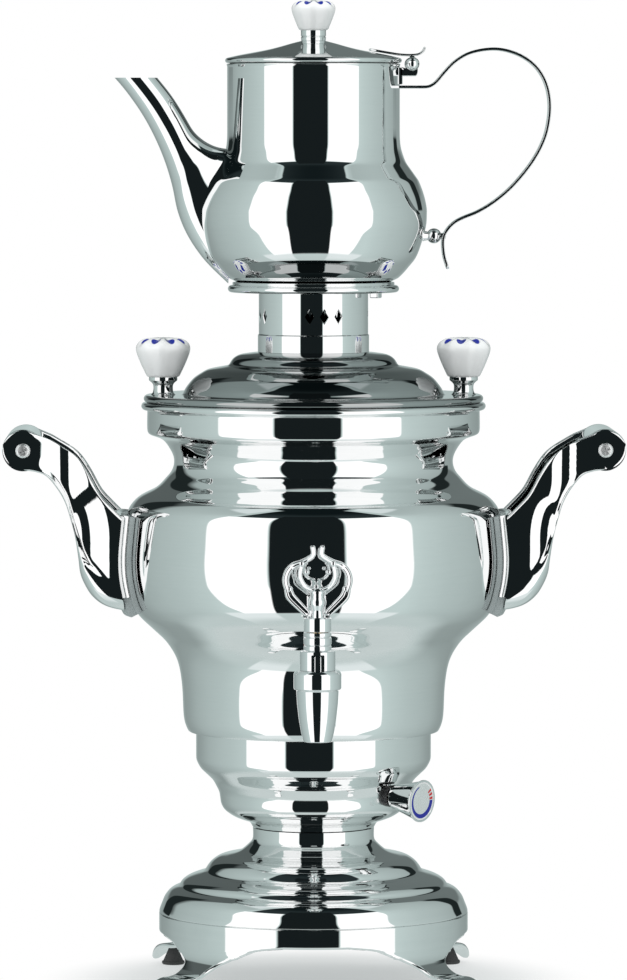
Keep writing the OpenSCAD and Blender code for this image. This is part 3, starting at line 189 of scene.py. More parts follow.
def turned(outline, around=192, x=0.0, y=0.0):
    """A closed outline of (radius, level) turned round an upright axis."""
    rings = []
    for i in range(around):
        c, s = math.cos(2 * math.pi * i / around), math.sin(2 * math.pi * i / around)
        rings.append([(x + r * c, y + r * s, z) for r, z in outline])
    return loft(rings, joined=True)


def straight(outline, places, axis=1):
    """A bar of one outline between places along an axis: 1 for y, 2 for z."""
    return loft([[(*p[:axis], place, *p[axis:]) for p in outline] for place in places])


def ball(radius, centre):
    rounds = [math.pi * k / 20 for k in range(1, 20)]
    line = [(0.0, -radius)] + [(radius * math.sin(a), -radius * math.cos(a)) for a in rounds] + [(0.0, radius)]
    return placed(turned(line, 28), Matrix.Translation(centre))


def placed(shell, matrix):
    return [tuple(matrix @ Vector(p)) for p in shell[0]], shell[1]


def mirrored(shell):
    return [(-x, y, z) for x, y, z in shell[0]], [tuple(reversed(f)) for f in shell[1]]


def lying(axis, x=0.0, y=0.0, z=0.0, degrees=90):
    """The place of something turned about an axis and then moved."""
    return Matrix.Translation((x, y, z)) @ Matrix.Rotation(math.radians(degrees), 4, axis)


def swept(path, section):
    """A section of (along the normal, across) points, given at each share of a flat path, swept along it."""
    rings = []
    for i, (x, z) in enumerate(path):
        nx, nz = side_of(path, i)
        rings.append([(x + a * nx, b, z + a * nz) for a, b in section(i / (len(path) - 1))])
    return loft(rings)


def rounded_bar(width, thick, edge, steps=3):
    """Section of a flat bar with rounded edges, as (through, across) points."""
    w, t = width / 2 - edge, thick / 2 - edge
    return [p for x, y, a in ((t, w, 0), (-t, w, 90), (-t, -w, 180), (t, -w, 270))
            for p in arc(x, y, edge, a, a + 90, steps)]


def smooth(mesh, crease):
    for face in mesh.polygons:
        face.use_smooth = True
    mesh.set_sharp_from_angle(angle=math.radians(crease))


def mesh_of(name, shells, crease=38):
    """A mesh whose closed shells all face outwards, smooth but for its creases."""
    whole = bmesh.new()
    for points, faces in shells:
        part = bmesh.new()
        made = [part.verts.new(Vector(p) * MM) for p in points]
        for face in faces:
            part.faces.new([made[i] for i in face])
        bmesh.ops.remove_doubles(part, verts=part.verts, dist=4e-7)
        bmesh.ops.dissolve_degenerate(part, edges=part.edges, dist=1e-7)
        bmesh.ops.delete(part, geom=[edge for edge in part.edges if not edge.link_faces], context="EDGES")
        bmesh.ops.holes_fill(part, edges=[edge for edge in part.edges if len(edge.link_faces) == 1], sides=0)
        bmesh.ops.recalc_face_normals(part, faces=part.faces)
        step = bpy.data.meshes.new("step")
        part.to_mesh(step)
        part.free()
        whole.from_mesh(step)
        bpy.data.meshes.remove(step)
    mesh = bpy.data.meshes.new(name)
    whole.to_mesh(mesh)
    whole.free()
    smooth(mesh, crease)
    return mesh


def in_scene(name, data):
    thing = bpy.data.objects.new(name, data)
    bpy.context.scene.collection.objects.link(thing)
    return thing


def piece(name, shells, finish, *stands_for, body="housing", slot=None, crease=38):
    """One finished piece of the samovar, which moves with a body."""
    thing = in_scene(name, mesh_of(name, shells, crease))
    thing.data.materials.append(finish)
    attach(thing, body)
    if stands_for:
        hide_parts(*stands_for)
    return thing


def keep_result(thing, tool, crease):
    """Makes what a modifier gives the piece's own mesh, and takes the modifier off."""
    thing.update_tag()
    bpy.context.view_layer.update()
    mesh = bpy.data.meshes.new_from_object(thing.evaluated_get(bpy.context.evaluated_depsgraph_get()))
    thing.modifiers.remove(tool)
    thing.data = mesh
    smooth(mesh, crease)


def run_tree(thing, tree, values, crease):
    """Runs a geometry tree on a piece."""
    tool = thing.modifiers.new(tree.name, "NODES")
    tool.node_group = tree
    for item in tree.interface.items_tree:
        if item.in_out == "INPUT" and item.name in values:
            tool[item.identifier] = values[item.name]
    keep_result(thing, tool, crease)


def cut(thing, shells, crease=38):
    """Takes shells out of a piece."""
    cutter = in_scene("cutter", mesh_of("cutter", shells))
    tool = thing.modifiers.new("cut", "BOOLEAN")
    tool.operation, tool.object, tool.solver = "DIFFERENCE", cutter, "EXACT"
    keep_result(thing, tool, crease)
    bpy.data.objects.remove(cutter)


# ---- Node trees ----

class Value:
    """What a node gives, in a form that sums can be written with."""

    def __init__(self, socket):
        self.socket, self.tree = socket, socket.id_data

    def __add__(self, other):
        return maths("ADD", self, other)

    def __sub__(self, other):
        return maths("SUBTRACT", self, other)

    def __rsub__(self, other):
        return maths("SUBTRACT", other, self)

    def __mul__(self, other):
        return maths("MULTIPLY", self, other)

    def __truediv__(self, other):
        return maths("DIVIDE", self, other)

    def __rtruediv__(self, other):
        return maths("DIVIDE", other, self)

    def __mod__(self, other):
        return maths("MODULO", self, other)

    def __abs__(self):
        return maths("ABSOLUTE", self)


def node(tree, kind, inputs=None, **settings):
    """A node with its settings, values and links."""
    made = tree.nodes.new(kind)
    for key, value in settings.items():
        setattr(made, key, value)
    for key, value in (inputs or {}).items():
        socket = made.inputs[key]
        if isinstance(value, Value):
            tree.links.new(value.socket, socket)
        else:
            socket.default_value = (*value, 1.0) if socket.type == "RGBA" else value
    return made


def take(tree, kind, inputs=None, output=0, **settings):
    """What a new node gives."""
    return Value(node(tree, kind, inputs, **settings).outputs[output])


def maths(work, *values, clamp=False):
    tree = next(value.tree for value in values if isinstance(value, Value))
    return take(tree, "ShaderNodeMath", dict(enumerate(values)), operation=work, use_clamp=clamp)


def span(value, low, high, start=0.0, end=1.0, kind="LINEAR"):
    """A change from start to end while the value goes from low to high."""
    return take(value.tree, "ShaderNodeMapRange", {"Value": value, "From Min": low, "From Max": high,
                                                   "To Min": start, "To Max": end}, "Result",
                interpolation_type=kind)


def ramp(value, low, high, start=0.0, end=1.0):
    """The same, smooth at both ends."""
    return span(value, low, high, start, end, "SMOOTHSTEP")


def in_band(value, low, high, blur_low, blur_high):
    """One inside a band of values, nought outside it."""
    return (ramp(value, low - blur_low, low + blur_low)
            * ramp(value, high - blur_high, high + blur_high, 1.0, 0.0))


def mixed(factor, a, b):
    """A colour mix, by the sockets of its colour kind."""
    return take(factor.tree, "ShaderNodeMix", {0: factor, 6: a, 7: b}, 2, data_type="RGBA")


def noise(where, scale, detail, rough=0.5):
    return take(where.tree, "ShaderNodeTexNoise", {"Vector": where, "Scale": scale, "Detail": detail,
                                                   "Roughness": rough}, "Fac")


def parts(vector):
    return [Value(socket) for socket in node(vector.tree, "ShaderNodeSeparateXYZ", {0: vector}).outputs]


def length(x, y):
    return maths("SQRT", x * x + y * y)


def bump(height, strength, distance):
    return take(height.tree, "ShaderNodeBump", {"Height": height, "Strength": strength, "Distance": distance})


def on_object(tree):
    return take(tree, "ShaderNodeTexCoord", None, "Object")


NUMBER, COLOUR, SHAPE = "NodeSocketFloat", "NodeSocketColor", "NodeSocketGeometry"


def group(name, inputs, outputs, kind="ShaderNodeTree"):
    """A node group with named inputs and outputs, and what its inputs give."""
    tree = bpy.data.node_groups.new(name, kind)
    for label, (socket_type, *value) in inputs.items():
        socket = tree.interface.new_socket(label, in_out="INPUT", socket_type=socket_type)
        if value:
            socket.default_value = value[0]
    for label, socket_type in outputs.items():
        tree.interface.new_socket(label, in_out="OUTPUT", socket_type=socket_type)
    return tree, {socket.name: Value(socket) for socket in node(tree, "NodeGroupInput").outputs}


def new_tree(owner):
    owner.use_nodes = True
    owner.node_tree.nodes.clear()
    return owner.node_tree


def finish_from(name, build):
    """A finish whose shader inputs come from a function of its tree."""
    finish = bpy.data.materials.new(name)
    tree = new_tree(finish)
    node(tree, "ShaderNodeOutputMaterial", {0: take(tree, "ShaderNodeBsdfPrincipled", build(tree))})
    return finish


# ---- Finishes ----

def make_marks(name, stretch, fine, clouds, share, low, high):
    """Fine marks and slow clouds over a surface, which shade and dull it."""
    tree, given = group(
        name,
        {"Fine Scale": (NUMBER, 900.0), "Cloud Scale": (NUMBER, 60.0), "Light": (COLOUR, (0.5, 0.5, 0.5, 1.0)),
         "Dark": (COLOUR, (0.4, 0.4, 0.4, 1.0)), "Smoothest": (NUMBER, 0.3), "Roughest": (NUMBER, 0.5)},
        {"Color": COLOUR, "Roughness": NUMBER, "Height": NUMBER})
    where = on_object(tree)
    long = take(tree, "ShaderNodeVectorMath", {0: where, 1: stretch}, operation="MULTIPLY")
    fine = noise(long, given["Fine Scale"], *fine)
    wear = ramp(fine * share + noise(where, given["Cloud Scale"], *clouds) * (1 - share), low, high)
    node(tree, "NodeGroupOutput", {"Color": mixed(wear, given["Light"], given["Dark"]),
                                   "Roughness": span(wear, 0.0, 1.0, given["Smoothest"], given["Roughest"]),
                                   "Height": fine})
    return tree


# Rings and clouds that buffing leaves in bright metal, and the pebble of what is moulded or fired
POLISH = make_marks("polish marks", (0.06, 0.06, 1.0), (2.0, 0.6), (3.0, 0.55), 0.45, 0.3, 0.75)
GRAIN = make_marks("grain", (1.0, 1.0, 1.0), (3.0,), (2.0,), 0.4, 0.35, 0.68)


def marked(tree, marks, light, dark, smoothest, roughest, fine, clouds):
    """The colour, roughness and height that a group of marks gives."""
    made = node(tree, "ShaderNodeGroup", node_tree=marks)
    for key, value in (("Fine Scale", fine), ("Cloud Scale", clouds), ("Light", (*light, 1.0)),
                       ("Dark", (*dark, 1.0)), ("Smoothest", smoothest), ("Roughest", roughest)):
        made.inputs[key].default_value = value
    return [Value(socket) for socket in made.outputs]


def metal(name, light, dull, smoothest, roughest, rings=900.0, clouds=35.0, depth=0.05, marks=POLISH):
    def build(tree):
        colour, rough, height = marked(tree, marks, light, dull, smoothest, roughest, rings, clouds)
        return {"Base Color": colour, "Roughness": rough, "Normal": bump(height, depth, 2e-5),
                "Metallic": 1.0 if marks == POLISH else 0.0}
    return finish_from(name, build)


def grained(name, light, dark, smoothest, roughest, scale):
    return metal(name, light, dark, smoothest, roughest, scale, 60.0, 0.3, GRAIN)


mirror_steel = metal("mirror steel", (0.88, 0.885, 0.885), (0.85, 0.86, 0.86), 0.012, 0.03)
# The lid's steel is the mirror steel painted darker: painted shade that stands in for the darker reflections over the
# lid
lid_steel_painted_darker = metal("lid steel painted darker", (0.42, 0.435, 0.435), (0.39, 0.405, 0.405), 0.012, 0.03)
polished_casting = metal("polished casting", (0.88, 0.885, 0.885), (0.84, 0.85, 0.85), 0.015, 0.04, 400.0, 70.0)
chromed_brass = metal("chromed brass", (0.89, 0.895, 0.9), (0.86, 0.87, 0.875), 0.012, 0.03, 1500.0)
plain_steel = metal("plain steel", (0.55, 0.56, 0.56), (0.44, 0.45, 0.45), 0.22, 0.42, 1500.0, 90.0, 0.25)
screw_steel = metal("screw steel", (0.72, 0.73, 0.73), (0.6, 0.61, 0.62), 0.1, 0.24, 2500.0)
screw_heads = metal("satin screw heads", (0.93, 0.94, 0.94), (0.85, 0.86, 0.86), 0.38, 0.5, 2500.0)
bare_brass = metal("bare brass", (0.78, 0.58, 0.28), (0.62, 0.44, 0.2), 0.16, 0.34, 1800.0)
element_steel = metal("element steel", (0.42, 0.41, 0.38), (0.3, 0.28, 0.25), 0.25, 0.5, 600.0, 120.0, 0.3)
black_plastic = grained("black plastic", (0.018, 0.019, 0.02), (0.03, 0.031, 0.033), 0.32, 0.5, 2600.0)
pad_plastic = grained("pad plastic", (0.33, 0.38, 0.38), (0.27, 0.31, 0.31), 0.2, 0.34, 1800.0)
switch_ceramic = grained("switch ceramic", (0.74, 0.71, 0.62), (0.66, 0.62, 0.53), 0.45, 0.7, 1500.0)
seal_silicone = grained("seal silicone", (0.42, 0.09, 0.06), (0.33, 0.06, 0.04), 0.4, 0.6, 1200.0)
glide_rubber = grained("glide rubber", (0.035, 0.035, 0.036), (0.055, 0.055, 0.055), 0.55, 0.8, 2000.0)


def petal_pattern():
    """Oval petals round a ring, from a place in millimetres measured from the knob's own axis."""
    tree, given = group(
        "petals", {"X": (NUMBER, 0.0), "Y": (NUMBER, 0.0), "Turn": (NUMBER, 0.0), "Ring Radius": (NUMBER, 9.8),
                   "Petal Size": (NUMBER, 2.7), "Count": (NUMBER, 8.0)}, {"Petal": NUMBER})
    angle = maths("ARCTAN2", given["Y"], given["X"]) - given["Turn"]
    cell = 2 * math.pi / given["Count"]
    # The half brings a petal's middle to nought, and the twenty keeps the share above it
    share = maths("FRACT", angle / cell + 20.5) - 0.5
    radius = length(given["X"], given["Y"])
    across = share * cell * radius / given["Petal Size"]
    along = (radius - given["Ring Radius"]) / given["Petal Size"]
    node(tree, "NodeGroupOutput", {"Petal": ramp(length(across, along), 0.84, 1.06, 1.0, 0.0)})
    return tree


PETALS = petal_pattern()


def knob_glaze(name, centre_x, turn, ring, size, crown_z):
    """White glaze over a knob, with cobalt petals in the valleys round its crown."""
    def build(tree):
        where = on_object(tree)
        x, y, z = parts(take(tree, "ShaderNodeMapping", {"Vector": where, "Location": (-centre_x, 0, 0),
                                                         "Scale": (1 / MM, 1 / MM, 1 / MM)}))
        petal = take(tree, "ShaderNodeGroup", node_tree=PETALS)
        petals = petal.socket.node
        for key, value in (("Turn", math.radians(turn)), ("Ring Radius", ring), ("Petal Size", size)):
            petals.inputs[key].default_value = value
        tree.links.new(x.socket, petals.inputs["X"])
        tree.links.new(y.socket, petals.inputs["Y"])
        crown = ramp(z, crown_z - 8.0, crown_z - 7.0)
        painted = petal * crown * ramp(noise(where, 420.0, 3.0), 0.2, 0.5, 0.9, 1.0)
        cloud = noise(where, 90.0, 2.0)
        white = mixed(cloud, (0.95, 0.97, 0.97), (0.9, 0.92, 0.92))
        return {"Base Color": mixed(painted, white, (0.01, 0.025, 0.36)),
                "Roughness": span(cloud, 0.0, 1.0, 0.08, 0.17),
                "Normal": bump(painted * 0.4 + cloud * 0.6, 0.15, 1e-4),
                "Coat Weight": 0.5, "Coat Roughness": 0.04}
    return finish_from(name, build)


# Turns in degrees that bring a valley, or a lobe beside it, to the front
LEFT_TURN, RIGHT_TURN = -67.5, -100.0
left_glaze = knob_glaze("left knob glaze", -KNOB_X, LEFT_TURN, 9.8, 2.7, 346.6)
right_glaze = knob_glaze("right knob glaze", KNOB_X, RIGHT_TURN, 9.8, 2.7, 346.6)
pot_glaze = knob_glaze("teapot knob glaze", 0.0, LEFT_TURN, 7.9, 2.2, 526.2)

# The dial's shaft leans out of the pedestal, and the dial starts at a distance along it
DIAL_START, DIAL_L, SCALE_R, BAR_PITCH = 54.3, 18.8, 8.1, 15.0
at_dial = lying("Z", z=104.0, degrees=-39) @ lying("Y", x=50.9, degrees=94) @ Matrix.Translation((0, 0, -50.9))


def dial_finish(tree):
    """Chrome on the dial's body, and a pale face with a blue scale and red bars on its front."""
    where = on_object(tree)
    down, right, out = parts(take(
        tree, "ShaderNodeMapping", {"Vector": where, "Location": at_dial.translation * MM,
                                    "Rotation": at_dial.to_euler(), "Scale": (MM, MM, MM)},
        vector_type="TEXTURE"))
    radius = length(down, right)
    wound = (maths("ARCTAN2", down, right) * DEGREE + 360.0) % 360.0
    front = DIAL_START + DIAL_L
    face = ramp(radius, 10.0, 10.12, 1.0, 0.0) * ramp(out, front - 0.5, front - 0.4)
    # The scale's band narrows on its way round from the right, through the bottom, to the upper left
    width = span(wound, 60.0, 250.0, 1.3, 0.3)
    band = ramp(abs(radius - SCALE_R) - width, -0.1, 0.1, 1.0, 0.0) * ramp(wound, 248.0, 252.0, 1.0, 0.0)
    # Three short bars above the band's thick end
    spoke = abs((maths("FRACT", wound / BAR_PITCH) - 0.5) * (BAR_PITCH / DEGREE * SCALE_R))
    bars = ramp(spoke, 0.56, 0.7, 1.0, 0.0) * in_band(wound, 315.0, 360.0, 0.5, 0.5)
    bars = bars * in_band(radius, 6.6, 9.4, 0.1, 0.1)
    disc = mixed(noise(where, 300.0, 2.0), (0.62, 0.68, 0.67), (0.54, 0.6, 0.59))
    disc = mixed(ramp(radius, 9.35, 9.5), disc, (0.82, 0.84, 0.84))
    disc = mixed(bars, mixed(band, disc, (0.001, 0.006, 0.3)), (0.55, 0.004, 0.01))
    colour, rough, _ = marked(tree, POLISH, (0.86, 0.87, 0.87), (0.8, 0.82, 0.82), 0.02, 0.05, 1500.0, 35.0)
    return {"Base Color": mixed(face, colour, disc), "Metallic": 1.0 - face,
            "Roughness": face * 0.3 + rough * 0.6, "Normal": bump(band + bars, 0.2, 3e-5)}


dial_face = finish_from("dial chrome and scale", dial_finish)


# ---- Room, floor, lamps and camera ----

TABLE_TONE, PALE = (0.56, 0.65, 0.64), (0.83, 0.84, 0.84)


def background(tree, colour):
    return take(tree, "ShaderNodeBackground", {"Color": colour, "Strength": 1.0})


def either(factor, a, b):
    """One shader or the other, by a share."""
    return take(a.tree, "ShaderNodeMixShader", {0: factor, 1: a, 2: b})


def studio_walls(turn, up):
    """The room beside and behind the samovar, by the angles of a look round it and up."""
    # Pale grey beside it, deeper towards its back
    round_by = abs(turn) / 180.0
    walls = node(turn.tree, "ShaderNodeValToRGB", {"Fac": round_by})
    marks = walls.color_ramp.elements
    for place, tone in ((0.0, 0.7), (0.34, 0.7), (0.40, 0.64), (0.5, 0.57), (0.6, 0.52), (0.7, 0.46),
                        (0.8, 0.37), (0.88, 0.33), (0.95, 0.42), (1.0, 0.6)):
        mark = marks[0] if place == 0.0 else marks[len(marks) - 1] if place == 1.0 else marks.new(place)
        mark.position, mark.color = place, (tone * 0.86, tone * 1.02, tone, 1.0)
    wall = mixed(ramp(up, 40.0, 62.0) * ramp(round_by, 0.35, 0.42), Value(walls.outputs[0]), (0.42, 0.5, 0.49))
    # Deep corners of the room behind, with a dark opening in each
    behind = ramp(up, 4.0, 10.0)
    wall = mixed(behind * ramp(turn, -138.0, -131.0, 1.0, 0.0), wall, (0.1, 0.12, 0.118))
    wall = mixed(behind * ramp(turn, 134.0, 142.0), wall, (0.15, 0.18, 0.177))
    for start, end in ((-156.0, -138.0), (133.0, 146.0)):
        wall = mixed(in_band(turn, start, end, 1.2, 1.2) * in_band(up, 1.0, 40.0, 1.5, 3.0), wall,
                     (0.014, 0.02, 0.02))
    # The table's tone below, lighter under the soft boxes
    wall = mixed(ramp(up, -52.0, -38.0, 1.0, 0.0), wall, TABLE_TONE)
    lit = in_band(turn, -68.0, -28.0, 2.0, 2.0) + in_band(turn, 18.0, 63.0, 2.0, 2.0)
    return mixed(lit * in_band(up, -60.0, -40.0, 10.0, 2.0), wall, (0.83, 0.9, 0.9))


def set_room():
    """A pale studio: plain light on matt surfaces, and two tall soft boxes that bright metal shows."""
    world = bpy.data.worlds.new("studio")
    bpy.context.scene.world = world
    tree = new_tree(world)
    x, y, z = parts(take(tree, "ShaderNodeTexCoord", None, "Generated"))
    turn = maths("ARCTAN2", x, y * -1.0) * DEGREE
    up = maths("ARCSINE", z) * DEGREE
    # Soft boxes left and right of the lens, their lower corners cut away
    box_low, box_high = -42.0, 47.0
    lean = ramp(up, -43.0, -15.0, 17.0, 0.0)
    height = in_band(up, box_low, box_high, 2.0, 0.8)
    boxes = maths("ADD", in_band(turn - lean, -70.0, -29.0, 0.8, 0.8) * height,
                  in_band(turn + lean, 19.0, 62.0, 0.8, 0.8) * height, clamp=True)
    # The dark end of the room between them, behind the lens
    dark = in_band(turn, -28.0, 18.0, 0.7, 0.7) * in_band(up, -43.0, 60.0, 1.5, 2.0)
    # Ceiling, with a bright panel over each side
    aside = abs(turn)
    front_roof = ramp(up, 47.3, 48.8) * ramp(aside, 62.0, 65.0, 1.0, 0.0)
    back_roof = ramp(up, 66.0, 70.0) * ramp(aside, 110.0, 116.0)
    roof = maths("MAXIMUM", maths("MAXIMUM", front_roof, back_roof), ramp(up, 77.0, 79.0))
    panels = in_band(up, 62.0, 76.0, 1.5, 1.0) * in_band(aside, 72.0, 108.0, 2.0, 2.0)
    seen = mixed(panels, studio_walls(turn, up), (0.72, 0.8, 0.8))
    seen = mixed(boxes, seen, (1.25, 1.25, 1.25))
    seen = mixed(roof, seen, mixed(ramp(up, 58.0, 74.0), (0.022, 0.032, 0.034), (0.005, 0.009, 0.01)))
    seen = mixed(dark, seen, (0.009, 0.013, 0.014))
    # What each kind of ray meets
    matt = either(take(tree, "ShaderNodeLightPath", None, "Is Diffuse Ray"), background(tree, seen),
                  background(tree, PALE))
    shown = either(take(tree, "ShaderNodeLightPath", None, "Is Camera Ray"), matt, background(tree, (1, 1, 1)))
    node(tree, "ShaderNodeOutputWorld", {0: shown})


def set_floor():
    """A pale floor that holds the samovar's shadow and runs out into white."""
    sheet = bpy.data.materials.new("floor")
    tree = new_tree(sheet)

    def glow(colour):
        return take(tree, "ShaderNodeEmission", {"Color": colour, "Strength": 1.0})

    far = take(tree, "ShaderNodeVectorMath", {0: on_object(tree)}, "Value", operation="LENGTH")
    glossy = take(tree, "ShaderNodeLightPath", None, "Is Glossy Ray")
    fade = ramp(far, 0.092, 0.155) * take(tree, "ShaderNodeLightPath", None, "Is Camera Ray")
    matt = take(tree, "ShaderNodeBsdfDiffuse", {"Color": (0.9, 0.9, 0.9)})
    near = either(fade, either(0.5, matt, glow((0.8, 0.83, 0.83))), glow((1, 1, 1)))
    toned = either(glossy * 0.75, near, glow(TABLE_TONE))
    node(tree, "ShaderNodeOutputMaterial", {0: either(ramp(far, 0.13, 0.19) * glossy, toned,
                                                      take(tree, "ShaderNodeBsdfTransparent"))})
    around = 64
    points = [(r * math.cos(2 * math.pi * k / around), r * math.sin(2 * math.pi * k / around), 0.0)
              for r in (0.0001, 0.15, 0.45) for k in range(around)]
    faces = [(i * around + k, (i + 1) * around + k, (i + 1) * around + (k + 1) % around,
              i * around + (k + 1) % around) for i in range(2) for k in range(around)] + [tuple(range(around))]
    mesh = bpy.data.meshes.new("floor")
    mesh.from_pydata(points, [], faces)
    mesh.materials.append(sheet)
    in_scene("floor", mesh)


def set_lamp(name, place, aim, size, watts):
    light = bpy.data.lights.new(name, "AREA")
    light.shape, light.size, light.size_y, light.energy = "RECTANGLE", size[0], size[1], watts
    lamp = in_scene(name, light)
    lamp.location = place
    lamp.rotation_euler = (Vector(aim) - Vector(place)).to_track_quat("-Z", "Y").to_euler()
    lamp.visible_glossy = False


def set_camera():
    lens = bpy.data.cameras.new("camera")
    lens.sensor_fit, lens.sensor_height, lens.lens = "VERTICAL", 36.0, 231.8
    lens.clip_start, lens.clip_end = 0.1, 50.0
    camera = in_scene("camera", lens)
    camera.location = (-0.0588, -3.3695, 0.4574)
    camera.rotation_euler = Euler((math.radians(86.73), 0.0, math.radians(-1.0)))
    bpy.context.scene.camera = camera


bpy.context.scene.view_settings.view_transform = "Standard"
set_room()
set_floor()
set_lamp("top lamp", (0.3, -0.6, 1.9), (0, 0, 0.1), (1.6, 1.2), 9.0)
set_lamp("left lamp", (-1.8, -1.2, 0.9), (0, 0, 0.25), (1.0, 1.4), 5.0)
set_camera()


# ---- Tank ----

lower_shares = [(0, 0), (.04, .03), (.075, .09), (.1, .267), (.17, .405), (.33, .508), (.515, .576),
                (.717, .645), (.8, .682), (.9, .75), (.978, .877), (1, 1)]
upper_shares = [(.963, .263), (.915, .477), (.824, .562), (.706, .625), (.57, .667), (.371, .718),
                (.254, .77), (.154, .833), (.077, .875), (.018, .938), (0, 1)]
flare_shares = [(.035, .2), (.146, .406), (.29, .613), (.479, .787), (.89, .923), (1, 1)]
tank_line = eased(curve(rise(lower_shares, 67.0, BELLY_R, TANK_Z, BELLY_Z)
                        + rise(upper_shares, THROAT_R, BELLY_R, BELLY_Z, THROAT_Z)
                        + rise(flare_shares, THROAT_R, BAND_R, THROAT_Z, BAND_Z) + [(BAND_R, 307.3)]), 1.5, 0.75)


def make_tank():
    outline = softened([(0, TANK_Z), (66.9, TANK_Z)] + above(tank_line, 136.4)
                       + [(88.9, 307.7)] + arc(90.0, 310.0, 2.0, -80, 90, 12)
                       + [(88.0, LID_Z)] + lining(tank_line, 138.0, 306.0)
                       + [(66.2, TANK_Z + SHEET), (0, TANK_Z + SHEET)], 0.5, 3, 40)
    piece("tank", [turned(outline, 224)], mirror_steel, "tank_shell", "tank_neck")


# ---- Base dome and pedestal ----

dome_shares = [(1, 0), (.996, .03), (.966, .116), (.938, .187), (.885, .257), (.83, .289), (.789, .305),
               (.757, .363), (.694, .411), (.608, .446), (.523, .475), (.491, .527), (.439, .598), (.354, .657),
               (.249, .679), (.141, .714), (.036, .809), (0, .868), (0, 1)]
dome_line = eased(curve(rise(dome_shares, NECK_R, SKIRT_R, DOME_Z, NECK_Z)), 0.8, 0.5)
cup_shares = [(0, 0), (.114, .2), (.374, .3), (.617, .41), (.863, .6), (.971, .8)]
drum_shares = [(0, 0), (.047, .157), (.17, .31), (.31, .462), (.558, .614), (.814, .767), (.953, .919), (1, 1)]
pedestal_line = eased(curve(rise(cup_shares, NECK_R, CUP_R, NECK_Z, CUP_Z)
                            + rise(drum_shares, CUP_R, DRUM_R, CUP_Z, DRUM_Z)) + [(DRUM_R, 135.4)], 0.8, 0.5)


def make_dome():
    outline = softened([(82.3, DOME_Z)] + above(dome_line, 38.9)
                       + [(17.9, NECK_Z), (17.9, NECK_Z - SHEET)] + lining(dome_line, 40.0, 82.6)
                       + [(81.9, DOME_Z)], 0.4, 3, 40)
    piece("base_dome_shell", [turned(outline, 224)], mirror_steel, "base_dome")


def make_pedestal():
    outline = softened([(17.9, NECK_Z)] + above(pedestal_line, 84.3)
                       + [(DRUM_R, TANK_Z), (53.9, TANK_Z), (53.9, TANK_Z - SHEET), (62.1, TANK_Z - SHEET)]
                       + lining(pedestal_line, 86.0, 134.6)
                       + [(31.7, NECK_Z + SHEET), (17.9, NECK_Z + SHEET)], 0.5, 3, 40)
    shell = piece("pedestal_shell", [turned(outline, 208)], mirror_steel, "pedestal")
    # Opening for the mains inlet at the back, its corners round
    opening = [p for sx, sz, a in ((1, 1, 0), (-1, 1, 90), (-1, -1, 180), (1, -1, 270))
               for p in arc(sx * 13.2, 114.0 + sz * 9.2, 2.0, a, a + 90, 6)]
    cut(shell, [straight(opening, (36.0, 80.0))])


# ---- Main lid ----

lid_shares = [(1, 0), (.975, .1), (.94, .2), (.85, .385), (.746, .51), (.64, .604), (.433, .674),
              (.37, .70), (.34, .79), (.3, .87), (.22, .945), (.08, .985), (0, 1)]
lid_line = curve(rise(lid_shares, 30.7, 70.0, LID_TOP_Z, COLLAR_Z))


def make_lid():
    top = eased([(84.0, LID_TOP_Z), (78.0, LID_TOP_Z)] + lid_line, 0.7, 0.6)
    outline = softened([(87.6, 306.0), (87.6, LID_Z)] + arc(88.7, 314.0, 2.0, -90, 90, 12) + top
                       + [(27.8, COLLAR_Z), (27.8, 343.7), (27.0, 343.7), (27.0, 337.9), (30.6, 337.9)]
                       + lining(top, 31.6, 69.0, 0) + [(70.0, 315.2), (86.8, 315.2), (86.8, 306.0)], 0.35, 3, 40)
    # The lid takes the darker copy of the steel, a painted shade over its reflections
    piece("lid_shell", [turned(outline, 224)], lid_steel_painted_darker, "main_lid", body="lid")


# ---- Teapot stand ----

def diamond_piercing(pitch, turn):
    """A tree that stands three cutters round each quarter of a ring, and takes them out of it."""
    tree, given = group("diamond piercing", {"Ring": (SHAPE,), "Cutter": ("NodeSocketObject",),
                                             "Pitch": (NUMBER, pitch), "Turn": (NUMBER, turn)},
                        {"Pierced": SHAPE}, "GeometryNodeTree")
    number = take(tree, "GeometryNodeInputIndex")
    angle = (maths("FLOOR", number / 3.0) * 90.0
             + ((number % 3.0 - 1.0) * given["Pitch"] + given["Turn"]))
    spin = take(tree, "ShaderNodeCombineXYZ", {"Z": maths("RADIANS", angle)})
    seats = take(tree, "GeometryNodeMeshLine", {"Count": 12, "Offset": (0, 0, 0)})
    shape = take(tree, "GeometryNodeObjectInfo", {"Object": given["Cutter"]}, "Geometry")
    cutters = take(tree, "GeometryNodeInstanceOnPoints", {"Points": seats, "Instance": shape, "Rotation": spin})
    solid = take(tree, "GeometryNodeRealizeInstances", {0: cutters})
    holes = take(tree, "GeometryNodeMeshBoolean", {"Mesh 1": given["Ring"], "Mesh 2": solid},
                 operation="DIFFERENCE", solver="EXACT")
    node(tree, "NodeGroupOutput", {"Pierced": take(tree, "GeometryNodeSetMaterial",
                                                   {"Geometry": holes, "Material": mirror_steel})})
    return tree


